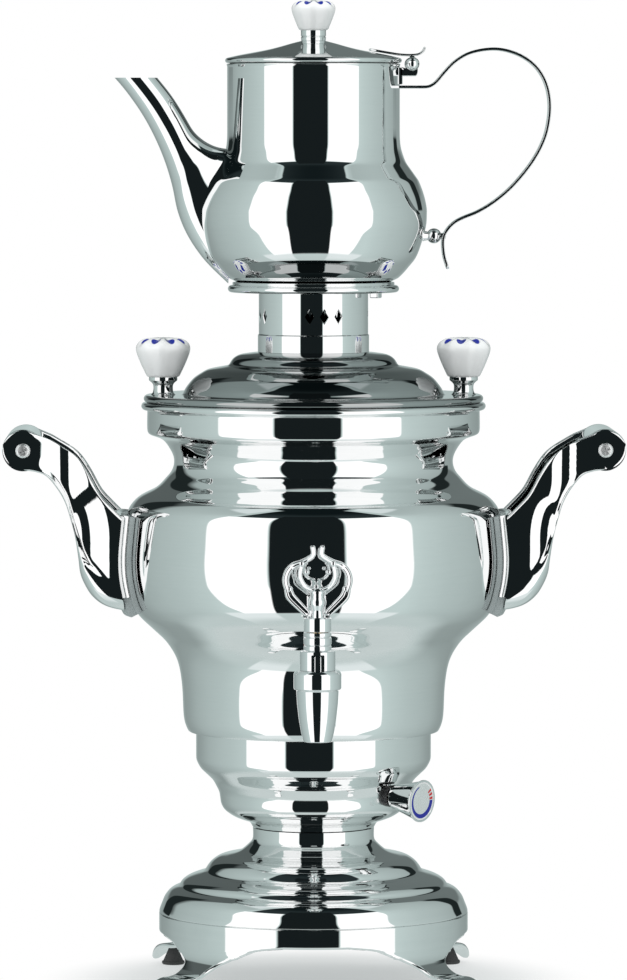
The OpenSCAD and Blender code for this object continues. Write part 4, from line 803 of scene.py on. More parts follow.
def make_collar():
    """The collar, and the countersunk diamonds that are pierced through its wall."""
    outline = softened([(28.2, COLLAR_Z), (29.7, COLLAR_Z), (29.7, 347.9), (29.2, 348.4), (29.2, TRAY_Z),
                        (28.2, TRAY_Z)], 0.18, 3, 30)
    # Even rows up the plain wall keep its shading true
    filled = []
    for a, b in zip(outline, outline[1:] + outline[:1]):
        filled += even([a, b], 2.5)[:-1] if math.dist(a, b) > 4 else [a]
    collar = piece("collar_ring", [turned(filled, 192)], mirror_steel, "collar", body="stand")
    # A four-sided cutter that widens at the wall's outer face
    half_w, half_h, z = 2.65, 4.3, COLLAR_Z + 32.0 * 0.61
    rings = []
    for y, more in ((-22.0, -0.5), (-28.75, -0.5), (-29.65, 0.45), (-34.0, 4.8)):
        w, h = half_w + more, half_h + more * 1.5
        rings.append([(-w, y, z), (0, y, z - h), (w, y, z), (0, y, z + h)])
    cutter = in_scene("diamond cutter", mesh_of("diamond cutter", [loft(rings)]))
    pitch, turn = 15.7, 10.6
    run_tree(collar, diamond_piercing(pitch, turn), {"Cutter": cutter, "Pitch": pitch, "Turn": turn}, 28)
    bpy.data.objects.remove(cutter)


def make_tray():
    outline = softened([(23.8, TRAY_Z), (27.1, TRAY_Z), (27.1, 367.7), (28.1, 367.7), (28.1, TRAY_Z),
                        (43.9, TRAY_Z)] + arc(43.8, 372.6, 1.9, -70, 70, 12) + [(43.3, 374.6)]
                       + arc(42.6, 375.5, 0.7, -40, 120, 8) + [(41.6, 375.9), (41.6, 372.9), (40.6, POT_Z),
                                                              (23.8, POT_Z)], 0.25, 3, 30)
    shells = [turned(outline, 192)]
    middle = 35.7
    ear = softened([(33.2, -3.0), (38.2, -3.0), (38.2, 3.0), (33.2, 3.0)], 0.8, 4, 30)
    for turn in (-23.0, 90.0):
        rings = [[(middle + (x - middle) * k, y * k, z) for x, y in ear]
                 for z, k in ((367.9, 0.8), (368.0, 0.92), (368.4, 1.0), (370.9, 1.0))]
        shells.append(placed(loft(rings), lying("Z", degrees=turn)))
    piece("tray", shells, mirror_steel, "tray_ring", body="stand")


# ---- Teapot ----

pot_low = [(0, .005), (.015, .1), (.22, .15), (.4, .235), (.53, .31), (.68, .4), (.78, .5), (.9, .68),
           (.985, .85), (1, 1)]
pot_high = [(1, .05), (.96, .137), (.883, .246), (.786, .344), (.69, .426), (.62, .461), (.457, .5415),
            (.294, .622), (.228, .657), (.128, .746), (.038, .856), (.004, .97)]
pot_line = eased(curve(rise(pot_low, 40.6, POT_BELLY_R, POT_Z, POT_BELLY_Z)
                       + rise(pot_high, POT_NECK_R, POT_BELLY_R, POT_BELLY_Z, POT_NECK_Z))
                 + [(POT_NECK_R, 457.0), (POT_NECK_R, 491.0)], 1.0, 0.6)
CONE_Z, CONE_TOP_Z, FERRULE_TOP_Z = 495.5, 504.5, 510.2


def make_pot():
    outline = softened([(0, POT_Z), (39.8, POT_Z)] + above(pot_line, 372.3)
                       + arc(45.7, 491.8, 0.6, -30, 90, 6) + [(45.2, POT_RIM_Z)] + lining(pot_line, 373.4, 490.0)
                       + [(39.8, POT_Z + SHEET), (0, POT_Z + SHEET)], 0.4, 3, 40)
    piece("teapot_body", [turned(outline, 208)], mirror_steel, "pot_body", body="teapot")


def make_pot_lid():
    cone = eased(curve(rise([(1, 0), (.86, .17), (.5, .52), (.25, .86)], 0, 45.9, CONE_Z, CONE_TOP_Z)), 0.8, 0.6)
    outline = softened([(44.5, 488.7), (44.5, 492.7)] + arc(45.7, 494.1, 1.4, -90, 90, 10) + cone
                       + [(6.7, CONE_TOP_Z), (0, CONE_TOP_Z), (0, CONE_TOP_Z - SHEET), (6.7, CONE_TOP_Z - SHEET)]
                       + lining(cone, 0.0, 43.0, 0, 3) + [(43.7, 494.7), (43.7, 488.7)], 0.3, 3, 40)
    piece("teapot_lid_shell", [turned(outline, 192)], mirror_steel, "pot_lid", body="teapot_lid")
    ferrule = softened([(0, CONE_TOP_Z), (6.5, CONE_TOP_Z), (6.7, 506.3), (6.3, 506.75), (6.7, 507.2),
                        (6.7, FERRULE_TOP_Z), (0, FERRULE_TOP_Z)], 0.2, 3, 20)
    piece("teapot_ferrule", [turned(ferrule, 96)], mirror_steel, "pot_ferrule", body="teapot_lid")


# ---- Foot ring and glides ----

ARCH_Z, ARCH_LOW_Z, GLIDE_R, TOE = 28.0, 22.5, 107.0, 15.0


def ring_point(angle, r, z):
    return (r * math.cos(angle), r * math.sin(angle), z)


def casting_profile():
    """The skirt's outer face from its top edge down, and on along a leg to the toe's tip."""
    run = GLIDE_R - SKIRT_R
    leg = curve([(SKIRT_R, 25.6)] + [(SKIRT_R + run * share, z) for share, z in
                                     ((.041, 22.0), (.132, 19.0), (.31, 16.0), (.537, 13.2), (.752, 12.3), (1, 12.2))]
                + [(GLIDE_R + TOE * .37, 10.6), (GLIDE_R + TOE * .73, 7.0), (GLIDE_R + TOE, 3.0)], 6)
    edge = [(SKIRT_R, ARCH_Z + d) for d in (0.2, 0.001, -0.001)]
    return (even([(SKIRT_R, 37.9), (SKIRT_R, ARCH_Z + 0.4)], 0.5) + edge
            + even([(SKIRT_R, ARCH_Z - 0.2), (SKIRT_R, 26.0)], 0.3) + eased(leg, 0.9, 0.5))


arch_line = curve([(17.2, ARCH_Z), (27.8, 26.9), (34.0, 25.5), (39.5, 23.2), (40.5, ARCH_LOW_Z)], 6)[::-1]
leg_widths = curve([(70.8, 22.5), (SKIRT_R, 22.3), (SKIRT_R + 1.0, 19.6), (SKIRT_R + 3.2, 13.0),
                    (SKIRT_R + 7.5, 9.8), (SKIRT_R + 14, 9.2), (107, 8.8), (112, 8.2), (117, 6), (121, 3), (122, 1)], 4)


def half_angle(r, z):
    """Half the width of the casting round the leg's middle, as an angle, at a point of its profile."""
    if z > ARCH_Z:
        return math.pi / 4
    scallop = math.pi / 4 - math.asin(radius_at(arch_line, z) / SKIRT_R) if z > 23.0 else 0.0
    width = next((a[1] + (b[1] - a[1]) * (r - a[0]) / (b[0] - a[0])
                  for a, b in zip(leg_widths, leg_widths[1:]) if a[0] <= r <= b[0]), 1.0)
    return max(scallop, math.asin(min(0.99, width / r)))


def rim_tree(profile, halves, drop):
    """The points of the casting's rim on one quarter, to find how far a place lies from it."""
    rim = []
    for i in range(drop, len(profile) - 1):
        for k in range(4):
            t = k / 4
            r, z = (profile[i][a] + (profile[i + 1][a] - profile[i][a]) * t for a in (0, 1))
            h = halves[i] + (halves[i + 1] - halves[i]) * t
            rim += [ring_point(-h, r, z), ring_point(h, r, z)]
    for k in range(121):
        angle = math.pi / 4 - (math.pi / 4 - halves[drop]) * k / 120
        rim += [ring_point(angle, SKIRT_R, ARCH_Z), ring_point(-angle, SKIRT_R, ARCH_Z)]
    rim += [ring_point(halves[-1] * (k / 4 - 1), *profile[-1]) for k in range(9)]
    tree = KDTree(len(rim))
    for k, p in enumerate(rim):
        tree.insert(p, k)
    tree.balance()
    return tree


def casting_columns(profile, halves, drop):
    """The angles at which the casting has points, for each point of its profile."""
    near = [0.0, 0.06, 0.2, 0.42, 0.75, 1.2, 1.9]
    columns = []
    for i, (r, _) in enumerate(profile):
        width = halves[i] * r
        if i < drop:
            inner, fit = halves[drop] * SKIRT_R, 1.0
            outer = [-width + (width - inner) * k / 12 for k in range(12)]
            edge = [-inner + min(d, inner * d / 6) for d in near]
        else:
            inner, fit = width, min(1.0, width / 4.5)
            outer = [-width] * 12
            edge = [-width + d * fit for d in near]
        middle = [-inner + near[-1] * fit + 2 * (inner - near[-1] * fit) * k / 34 for k in range(1, 34)]
        left = outer + edge
        columns.append([a / r for a in left + middle + [-a for a in reversed(left)]])
    return columns


def make_foot_ring():
    """The cast skirt, its scalloped lower edge and its four splayed legs, as one rounded shell."""
    profile = casting_profile()
    drop = next(i for i, p in enumerate(profile) if p[1] < ARCH_Z)
    halves = [half_angle(r, z) for r, z in profile]
    for i in range(drop + 1, len(halves)):
        halves[i] = min(halves[i], halves[i - 1])
    columns = casting_columns(profile, halves, drop)
    tree = rim_tree(profile, halves, drop)
    rounding, wall = 1.2, 2.5
    inside = beside(profile, -wall)
    rows_out, rows_in = [], []
    for i, (r, z) in enumerate(profile):
        nr, nz = side_of(profile, i)
        out_row, in_row = [], []
        for angle in columns[i]:
            # How deep the rounded edge lies below the face, from its distance to the casting's rim
            short = max(0.0, rounding - tree.find(ring_point(angle, r, z))[2])
            deep = rounding - math.sqrt(rounding ** 2 - short ** 2)
            out_row.append(ring_point(angle, r - nr * deep, z - nz * deep))
            in_row.append(ring_point(angle, inside[i][0] + nr * deep, inside[i][1] + nz * deep))
        rows_out.append(out_row)
        rows_in.append(in_row)
    top = [[ring_point(a, SKIRT_R - d, z) for a in columns[0]]
           for d, z in ((wall, 38.5), (0.45, 38.5), (0.16, 38.38), (0.02, 38.1))]
    rows = top + rows_out + rows_in[::-1]
    n, count = len(rows[0]), len(rows_out)
    faces = []
    for i in range(len(rows)):
        j = (i + 1) % len(rows)
        faces += [(i * n + k, j * n + k, j * n + k + 1, i * n + k + 1) for k in range(n - 1)]
    # Close the rim of the skirt and leg, all but the two ends where the quarters meet
    for k in (0, n - 1):
        for a in range(4 + drop, 3 + count):
            c = 7 + 2 * count - a
            faces.append((a * n + k, (a + 1) * n + k, (c - 1) * n + k, c * n + k))
    quarters = bmesh.new()
    for turn in range(4):
        spin = lying("Z", degrees=45 + 90 * turn)
        made = [quarters.verts.new(spin @ Vector(p)) for row in rows for p in row]
        for face in faces:
            quarters.faces.new([made[i] for i in face])
    bmesh.ops.remove_doubles(quarters, verts=quarters.verts, dist=1e-3)
    quarters.verts.index_update()
    whole = ([tuple(v.co) for v in quarters.verts], [tuple(v.index for v in f.verts) for f in quarters.faces])
    quarters.free()
    ear = straight(softened([(71.3, -5), (81.0, -5), (81.0, 5), (71.3, 5)], 1.0, 3), (32.5, 35.5), 2)
    ears = [placed(ear, lying("Z", degrees=45 + 90 * turn)) for turn in range(4)]
    piece("foot_casting", [whole] + ears, polished_casting, "foot_ring", crease=50)


def make_glides():
    """A turned rubber foot under each toe, set out by a geometry tree."""
    outline = softened([(0, 0), (5.6, 0), (6.2, 0.5), (6.2, 1.7), (5.5, 2.0), (2.2, 9.4), (0, 9.4)], 0.3, 3, 20)
    glide = piece("glide_feet", [turned(outline, 40)], glide_rubber, "glides")
    radius, count = GLIDE_R * MM, 4
    tree, given = group("glide setting", {"Glide": (SHAPE,), "Circle Radius": (NUMBER, radius),
                                          "Count": ("NodeSocketInt", count)}, {"Glides": SHAPE},
                        "GeometryNodeTree")
    circle = take(tree, "GeometryNodeMeshCircle", {"Vertices": given["Count"], "Radius": given["Circle Radius"]})
    diagonal = take(tree, "GeometryNodeTransform", {"Geometry": circle, "Rotation": (0, 0, math.pi / 4)})
    set_out = take(tree, "GeometryNodeInstanceOnPoints", {"Points": diagonal, "Instance": given["Glide"]})
    solid = take(tree, "GeometryNodeRealizeInstances", {0: set_out})
    node(tree, "NodeGroupOutput", {"Glides": take(tree, "GeometryNodeSetMaterial",
                                                  {"Geometry": solid, "Material": glide_rubber})})
    run_tree(glide, tree, {"Circle Radius": radius, "Count": count}, 38)


# ---- Side handles ----

GRIP_X, GRIP_Z, GRIP_R, HALF = 154.4, 287.6, 11.1, 32.0
PLATE, PILLOW = 4.2, 1.5


def at_grip(p):
    return BELLY_R + p[0], GRIP_Z + p[1]


bracket_top = curve([at_grip(p) for p in [(-6, -40), (0, -35.8), (6, -30), (12, -23.3), (17.4, -13.5),
                                          (22.7, -5.5), (27.6, -1), (34.3, 3.2), (39.2, 6)]], 6)
bracket_back = [(47, -11.1), (40.7, -13.3), (34.9, -20), (30.6, -27.5), (28, -35.5), (25.3, -46)]
foot_face = [(21.6, -57), (18.5, -62), (15.8, -64.7), (12.2, -68.5), (8.4, -72.2), (0.9, -76.4), (-8, -78)]
foot_bulge = [(23.6, -57.5), (22.7, -65.5), (20.4, -71.4), (16.6, -77.4), (11, -82), (3.6, -84.6), (-8, -86.2)]
# The middle of the groove pressed along each plate, as (from the axis, level)
groove_line = even(curve([(121.0, 214.0), (121.3, 232.0), (121.6, 246.0), (124.2, 255.5), (129.8, 259.8),
                          (132.4, 268.0), (132.8, 280.0), (133.0, 300.0)], 8), 1.0)


def groove_depth(x, z, wide, deep):
    """Depth of the groove: straight flanks, with a short easing at their foot and lip."""
    flank, lip = (min(math.hypot(x - a, z - b) for a, b in groove_line) - 1.8) / wide, 0.06
    if flank <= -lip:
        return deep
    if flank < lip:
        return deep * (1 - (flank + lip) ** 2 / (4 * lip))
    if flank < 1 - lip:
        return deep * (1 - flank)
    return deep * (1 + lip - flank) ** 2 / (4 * lip) if flank < 1 + lip else 0.0


def rounding(depth, share):
    """How far a round edge falls back, from one at the rim to nought at its inner end."""
    return depth * (1 - math.sqrt(max(0.0, 1 - share * share)))


def bracket_stations():
    """The bracket's upper edge, lower edge, rolled edge and share of disc, from the tank to the grip."""
    upper = even(bracket_top, 1.1)
    lower, rolled = ([at_grip(p) for p in curve(bracket_back + foot, 6)[::-1]] for foot in (foot_face, foot_bulge))
    far_u, far_l = lengths(upper), lengths(lower)
    n_body, n_disc = 74, 36
    stations = []
    for i in range(n_body):
        t = i / (n_body - 1)
        s = far_l[-1] * t
        stations.append((at_length(upper, far_u, far_u[-1] * t), at_length(lower, far_l, s),
                         at_length(rolled, far_l, s), 0.0))
    for i in range(1, n_disc + 1):
        t = i / n_disc
        top, low = ((GRIP_X + GRIP_R * math.cos(a), GRIP_Z + GRIP_R * math.sin(a))
                    for a in (math.radians(130 - 111.3 * t), math.radians(-95 + 111.3 * t)))
        stations.append((top, low, low, min(1.0, t * 8)))
    return stations


def bracket_loop(top, low, out, hidden, wide, deep):
    """The bracket's section at one station: round its outside, and back along its inner skin."""
    reach = max(math.dist(top, low), 0.01)
    ux, uz = (top[0] - low[0]) / reach, (top[1] - low[1]) / reach
    bx, bz = out[0] - low[0], out[1] - low[1]
    roll = 1.2 + 6.8 * min(1.0, math.hypot(bx, bz) / 6.0)
    sink = min(3.5, 0.45 * reach) * hidden
    edge, fit = min(1.2, 0.2 * reach), min(1.0, reach / 7.5)

    def spot(d, y):
        return (low[0] + ux * d, y, low[1] + uz * d)

    def corner(a, lift, y0):
        s = math.sin(a)
        d = lift + (1 - s) * edge
        return (low[0] + ux * d + bx * s, y0 + roll * (1 - math.cos(a)), low[1] + uz * d + bz * s)

    def around(lift, y0):
        near = [corner(math.radians(a), lift, y0) for a in (15, 30, 45, 60, 75, 90)]
        return near, [(x, -y, z) for x, y, z in reversed(near)]

    samples = [0.0, 0.02, 0.08, 0.2, 0.45, 0.8, 1.25, 1.8, 2.4, 3.0]
    heights = ([edge] + [1.2 * fit + (reach - 4.2 * fit) * k / 26 for k in range(1, 27)]
               + [reach - d * fit for d in reversed(samples[:-1])])
    outer, kept = [], []
    lift = min(3.0, 0.3 * reach) + sink
    for d in heights:
        x, _, z = spot(d, 0)
        sides = max(0.0, 1 - d / (3.0 * fit)) if hidden > 0.5 else 0.0
        pillow = rounding(PILLOW, max(0.0, 1 - (reach - d) / (3.0 * fit), sides))
        outer.append((d, max(pillow, groove_depth(x, z, wide, deep) * min(1.0, d / 4.0))))
        if d > lift + 0.4 * fit:
            kept.append((d, pillow))
    n_inner = 30
    inner = [kept[round(k * (len(kept) - 1) / (n_inner - 1))] for k in range(n_inner)] if kept else [
        (lift, 0.0)] * n_inner
    near, far = around(sink, -HALF)
    x, _, z = corner(math.pi / 2, sink, 0)
    near_in, far_in = around(lift, PLATE - HALF)
    return ([spot(d, p - HALF) for d, p in reversed(outer)] + near + [(x, y, z) for y in (-16, 0, 16)] + far
            + [spot(d, HALF - p) for d, p in outer] + [spot(d, HALF - PLATE + p) for d, p in reversed(inner)]
            + far_in[::-1] + near_in[::-1] + [spot(d, PLATE - HALF - p) for d, p in inner])


def bracket_shell(wide, deep):
    """One handle bracket on +X: two grooved plates, joined by a wall that rolls round into the foot."""
    return loft([bracket_loop(*station, wide, deep) for station in bracket_stations()])


def body_slab(near, far, low, high, half, edge, slant, rows=26, across=40):
    """A slab that follows the tank's side, between two distances from it; its ends slant inwards."""
    samples = [0.0, 0.05, 0.18, 0.4, 0.7, 1.0]

    def spread(a, b, count):
        return ([a + s * edge for s in samples] + [a + edge + (b - a - 2 * edge) * k / count for k in range(1, count)]
                + [b - s * edge for s in reversed(samples)])

    zs, ys = spread(low, high, rows), spread(-half, half, across)

    def skin(gap, sign, z, y):
        slope = math.atan2(radius_at(tank_line, z + 0.6) - radius_at(tank_line, z - 0.6), 1.2)
        d = min(z - zs[0], zs[-1] - z, y - ys[0], ys[-1] - y)
        gap += sign * rounding(edge, max(0.0, 1 - d / edge))
        radius = radius_at(tank_line, z) + gap * math.cos(slope)
        y *= 1 - slant / half * (gap - near) / (far - near)
        return (math.sqrt(max(0.0, radius ** 2 - y * y)), y, z - gap * math.sin(slope))

    points = [skin(gap, sign, z, y) for gap, sign in ((far, -1), (near, 1)) for z in zs for y in ys]
    m, n = len(zs), len(ys)
    faces = []
    for a in (g * m * n + i * n + k for g in range(2) for i in range(m - 1) for k in range(n - 1)):
        faces.append((a, a + 1, a + n + 1, a + n))
    rim = [i * n for i in range(m)] + [(m - 1) * n + k for k in range(1, n)] + [
        i * n + n - 1 for i in range(m - 2, -1, -1)] + list(range(n - 2, 0, -1))
    for a, b in zip(rim, rim[1:] + rim[:1]):
        faces.append((a, b, b + m * n, a + m * n))
    return points, faces


def make_handles():
    foot_z, top_z = BELLY_Z - 27.5, BELLY_Z + 22.5
    flange = body_slab(3.15, 8.2, BELLY_Z - 19.0, top_z, HALF - 0.6, 0.9, 3.6)
    pad = body_slab(0.12, 3.0, foot_z, top_z, HALF - 0.6, 0.6, 0.9)
    step = body_slab(0.15, 6.4, foot_z, BELLY_Z - 19.1, HALF - 1.5, 0.5, 1.5, rows=8)
    room = turned([(0, 150.0)] + [p for p in beside(tank_line, -7.2) if 152 < p[1] < 285] + [(0, 284.0)], 192)
    # The grooves catch the light differently on each side, so the left one is wider and deeper
    for side, groove, turn_over in (("right", (4.9, 1.65), tuple), ("left", (11.5, 3.3), mirrored)):
        arm = piece(side + "_handle_bracket", [turn_over(bracket_shell(*groove))], polished_casting,
                    side + "_bracket", crease=55)
        cut(arm, [room], 55)
        piece(side + "_handle_bracket_flange", [turn_over(flange)], polished_casting, crease=55)
    piece("pads_behind_flanges", [pad, step, mirrored(pad), mirrored(step)], pad_plastic, "handle_pads")
    # Grip bars with a fine line turned near each plate
    outline = softened([(0, -29.2), (GRIP_R, -29.2), (GRIP_R, -26.6), (GRIP_R - 0.35, -26.2), (GRIP_R, -25.8),
                        (GRIP_R, 25.8), (GRIP_R - 0.35, 26.2), (GRIP_R, 26.6), (GRIP_R, 29.2), (0, 29.2)],
                       0.2, 2, 20)
    piece("grip_rods", [placed(turned(outline, 96), lying("X", side * GRIP_X, 0, GRIP_Z)) for side in (-1, 1)],
          polished_casting, "grip_bars")
    # Cross-slotted dome heads
    head = softened([(0, -3), (1.9, -3), (1.9, -0.02), (3.9, -0.02), (3.9, 0.5)] + arc(2.3, 0.5, 1.6, 10, 80, 6)
                    + [(0, 2.35)], 0.1, 2, 30)
    cross = [(x * c - y * s, x * s + y * c) for c, s in ((1, 0), (0, 1), (-1, 0), (0, -1))
             for x, y in ((0.5, 0.5), (0.5, 2.3), (-0.5, 2.3))]
    stands = [lying("X", side * GRIP_X, face * HALF, GRIP_Z, -90 * face) for side in (-1, 1) for face in (-1, 1)]
    screws = piece("grip_screw_heads", [placed(turned(head, 48), stand) for stand in stands], screw_heads,
                   "grip_screws")
    cut(screws, [placed(straight(cross, (1.1, 3.0), 2), stand @ lying("Z", degrees=25)) for stand in stands])


# ---- Tap and its key ----

TAP_Z, TAP_Y, KEY_Z, KEY_HALF, KEY_H = 190.5, -121.5, 206.1, 18.5, 37.5


def make_tap():
    low, step, top = TAP_Z - 12, TAP_Z - 2, TAP_Z + 7.7
    barrel = softened([(0, low - 8), (6, low - 8), (6, low), (9.3, low), (9.3, step - 0.2), (8.9, step + 0.25),
                       (7.5, step + 0.35), (7.2, step + 0.7), (7.2, TAP_Z + 0.6), (6.7, TAP_Z + 1.1),
                       (7.2, TAP_Z + 1.6), (7.2, TAP_Z + 4.9), (6.7, TAP_Z + 5.4), (7.2, TAP_Z + 5.9),
                       (7.2, top), (5.3, top), (4.6, TAP_Z - 9.5), (0, TAP_Z - 9.5)], 0.3, 3, 20)
    body = piece("tap_barrel", [turned(barrel, 96, 0, TAP_Y)], chromed_brass, "tap_body")
    notch = softened([(-3.4, low - 1), (3.4, low - 1), (3.4, step - 1.5), (-3.4, step - 1.5)], 0.5, 3)
    cut(body, [straight(notch, (TAP_Y - 12, TAP_Y - 6.4))])
    shank = softened([(0, 74), (5, 74), (5, 83), (6.8, 83), (6.8, 85.4), (5.8, 86.2), (5.8, 117.0), (0, 117.0)],
                     0.35, 3, 30)
    piece("tap_shank", [placed(turned(shank, 72), lying("X", z=TAP_Z))], chromed_brass)
    nozzle = softened([(r, low + d) for r, d in
                       ((6.1, 0), (11.2, 0), (12.0, -0.9), (12.4, -1.8), (12.4, -9.2), (12.1, -9.7), (11.3, -10.1),
                        (11.0, -10.5), (10.65, -17.0), (9.75, -25.0), (8.6, -32.0), (7.5, -36.6), (7.2, -37.0),
                        (6.2, -37.0), (5.2, -14.0), (3.7, -12.0), (3.7, -8.2), (6.1, -8.2))], 0.3, 3, 18)
    tongue = [[(x, TAP_Y - 9.1 + y, z) for x, y in softened([(-1.8, 0), (1.8, 0), (1.8, 2.2), (-1.8, 2.2)], 0.5, 3)]
              for z in (low - 0.5, low + 7.2, low + 7.7)]
    tongue[-1] = [(x * 0.75, y + (TAP_Y - 8.0 - y) * 0.25, z) for x, y, z in tongue[-1]]
    piece("tap_cone", [turned(nozzle, 112, 0, TAP_Y), loft(tongue)], chromed_brass, "tap_nozzle")


# The bars of the key, as shares of its half width and height, with their widths in millimetres
key_rail = [(.145, .99, 2.7), (.115, .87, 2.6), (.23, .813, 2.8), (.37, .773, 3), (.48, .75, 3),
            (.675, .71, 3.4), (.82, .632, 3.6), (.885, .536, 3.6), (.875, .456, 3.6), (.82, .37, 3.6)]
key_blade = [(.84, .40, 3.4), (.80, .345, 4.6), (.735, .27, 4.9), (.47, .135, 4.4), (.25, .03, 4.0)]
key_arm = [(.44, .72, 2.4), (.49, .59, 2.4), (.45, .504, 2.4), (.32, .416, 2.6), (.04, .363, 2.6)]


def ridged_bar(shares):
    """A bar of the key: two long ridges with a hollow between them, closed by domed ends."""
    path = curve([(-a * KEY_HALF, b * KEY_H, w) for a, b, w in shares])
    last = len(path) - 1
    rings = []
    for i, (x, z, w) in enumerate(path):
        nx, nz = side_of(path, i)
        end = min(i, last - i)
        shrink = (0.45, 0.8, 0.94)[end] if end < 3 else 1.0
        ring = []
        for k in range(28):
            a = 2 * math.pi * k / 28
            along = w / 2 * math.cos(a) * shrink
            hollow = 1 - 0.34 * math.exp(-(along / (0.2 * w)) ** 2)
            ring.append((x + nx * along, 2.0 * math.sin(a) * hollow * shrink, z + nz * along))
        rings.append(ring)
    return loft(rings)


def make_key():
    cap = softened([(0, 198.6), (7.2, 198.6), (7.2, 205.4), (6.5, KEY_Z), (0, KEY_Z)], 0.35, 3, 20)
    stem = eased([(3.7, 0), (3.0, 3.0), (4.4, 6.4), (4.6, 8.2), (3.6, 10.5), (4.2, 13.0), (3.4, 14.2)], 0.4, 0.4)
    lift = Matrix.Translation((0, TAP_Y, KEY_Z))
    shells = [turned(cap, 96, 0, TAP_Y), placed(turned([(0, -0.4), (3.9, -0.4)] + stem + [(0, 14.6)], 64), lift)]
    for side in (1, -1):
        for bar in (placed(ridged_bar(shares), lift) for shares in (key_rail, key_blade, key_arm)):
            shells.append(bar if side == 1 else mirrored(bar))
        for x, z, r in ((-0.44, 0.735, 2.0), (-0.30, 0.62, 1.5), (-0.79, 0.385, 1.9)):
            shells.append(ball(r, (side * x * KEY_HALF, TAP_Y, KEY_Z + z * KEY_H)))
    piece("tap_key_wings", shells, chromed_brass, "tap_key", body="key")


# ---- Thermostat dial ----

def make_dial():
    line = eased(curve([(6.8, 2.4), (8.2, DIAL_L * .45), (10.2, DIAL_L * .85), (10.9, DIAL_L - 0.9)]), 0.4, 0.4)
    outline = softened([(0, 0), (5.2, 0), (6.4, 1)] + line + [(11.25, DIAL_L - 0.5), (11.2, DIAL_L),
                       (10.2, DIAL_L), (10.0, DIAL_L - 0.25), (0, DIAL_L - 0.25)], 0.18, 3, 26)
    shell = turned([(r, z + DIAL_START) for r, z in outline], 112)
    piece("dial", [placed(shell, at_dial)], dial_face, "dial_knob", body="dial")
    bush = softened([(5.15, 48.5), (5.9, 48.5), (5.9, 53.8), (5.15, 53.8)], 0.2, 3, 30)
    piece("dial_collar", [placed(turned(bush, 72), at_dial)], black_plastic, "thermostat_nut")


# ---- Ceramic knobs and their ferrules ----

FERRULE_H = 9.6


def lobed_knob(r, h, foot, turn, lift):
    """A glazed knob with eight soft lobes; their valleys lie at the turn and every eighth round from it."""
    outline = [(0, 0), (foot - 0.4, 0), (foot, 0.3)] + eased(curve(
        [(foot + .5, .05 * h), (foot + (r - foot) * .62, .37 * h), (r, .68 * h), (r * .93, .86 * h),
         (r * .68, .965 * h), (r * .3, h)]), 0.5, 0.5) + [(0, h)]
    around, rings = 160, []
    for i in range(around):
        a = 2 * math.pi * i / around
        valley = 0.5 + 0.5 * math.cos(8 * (a - math.radians(turn)))
        ring = []
        for x, z in outline:
            rim = max(0.0, (z / h - 0.72) / 0.28)
            deep = (0.022 + 0.028 * rim) * valley * min(1.0, z / (0.68 * h)) * min(1.0, x / (0.5 * r))
            ring.append((x * (1 - deep) * math.cos(a), x * (1 - deep) * math.sin(a),
                         lift + z - 0.075 * h * rim * valley * min(1.0, x / (0.62 * r)) ** 2))
        rings.append(ring)
    return loft(rings, joined=True)


def make_ferrules():
    line = eased(curve([(6.6, 0), (5.5, 1.4), (5.2, 4), (5.6, 5.8), (7.3, 7.4)]), 0.3, 0.3)
    outline = softened([(0, 0)] + line + [(7.6, 7.6), (7.6, FERRULE_H), (0, FERRULE_H)], 0.25, 3, 26)
    outline = [(r, z + LID_TOP_Z) for r, z in outline]
    piece("knob_ferrules", [turned(outline, 96, x) for x in (-KNOB_X, KNOB_X)], mirror_steel, "lid_ferrules",
          body="lid", slot="plain_steel")


def make_knobs():
    for name, x, turn, glaze in (("left_knob", -KNOB_X, LEFT_TURN, left_glaze),
                                 ("right_knob", KNOB_X, RIGHT_TURN, right_glaze)):
        points, faces = lobed_knob(14.5, 21.0, 8.6, turn, LID_TOP_Z + FERRULE_H)
        piece(name, [([(p[0] + x, p[1], p[2]) for p in points], faces)], glaze, "side_knobs", body="lid", crease=60)
    piece("teapot_knob", [lobed_knob(11.7, 16.0, 7.5, LEFT_TURN, FERRULE_TOP_Z)], pot_glaze, "pot_knob",
          body="teapot_lid", crease=60)


# ---- Spout ----

SPOUT_Z = 484.9
# Each edge from the pot's wall to the mouth, as (distance out from the belly, share of the height)
spout_low = [(-15, .03), (-2.4, .14), (6.7, .257), (12, .371), (14.7, .486), (18.5, .6), (23.8, .714),
             (30.8, .829), (39.9, .943), (48.5, 1.03)]
spout_high = [(-21, .66), (-10.5, .67), (-4.6, .69), (-0.5, .714), (3.5, .748), (7.1, .802), (11, .86),
              (15.9, .925), (22.7, 1), (32, 1.1)]
spout_half = [11, 12.2, 12.8, 12.4, 11.6, 10.8, 10.1, 9.6, 9.2, 9.2]


def spout_edge(shares, stations):
    """The points of a spout edge that belong to even shares of its stations."""
    whole = curve([(-POT_BELLY_R - x, POT_Z + s * (SPOUT_Z - POT_Z)) for x, s in shares], 10)
    line, part, count = eased(whole, 2.0, 1.0), lengths(whole), len(shares) - 1
    far = lengths(line)
    points = []
    for i in range(stations + 1):
        t = i / stations * count
        k = min(count - 1, int(t))
        s = part[k * 10] + (part[(k + 1) * 10] - part[k * 10]) * (t - k)
        points.append(at_length(line, far, s / part[-1] * far[-1]))
    return points


def in_pot(p):
    """Whether a point lies in the pot, half a millimetre or more behind its face."""
    return math.hypot(p[0], p[1]) < radius_at(pot_line, p[2]) - 0.5


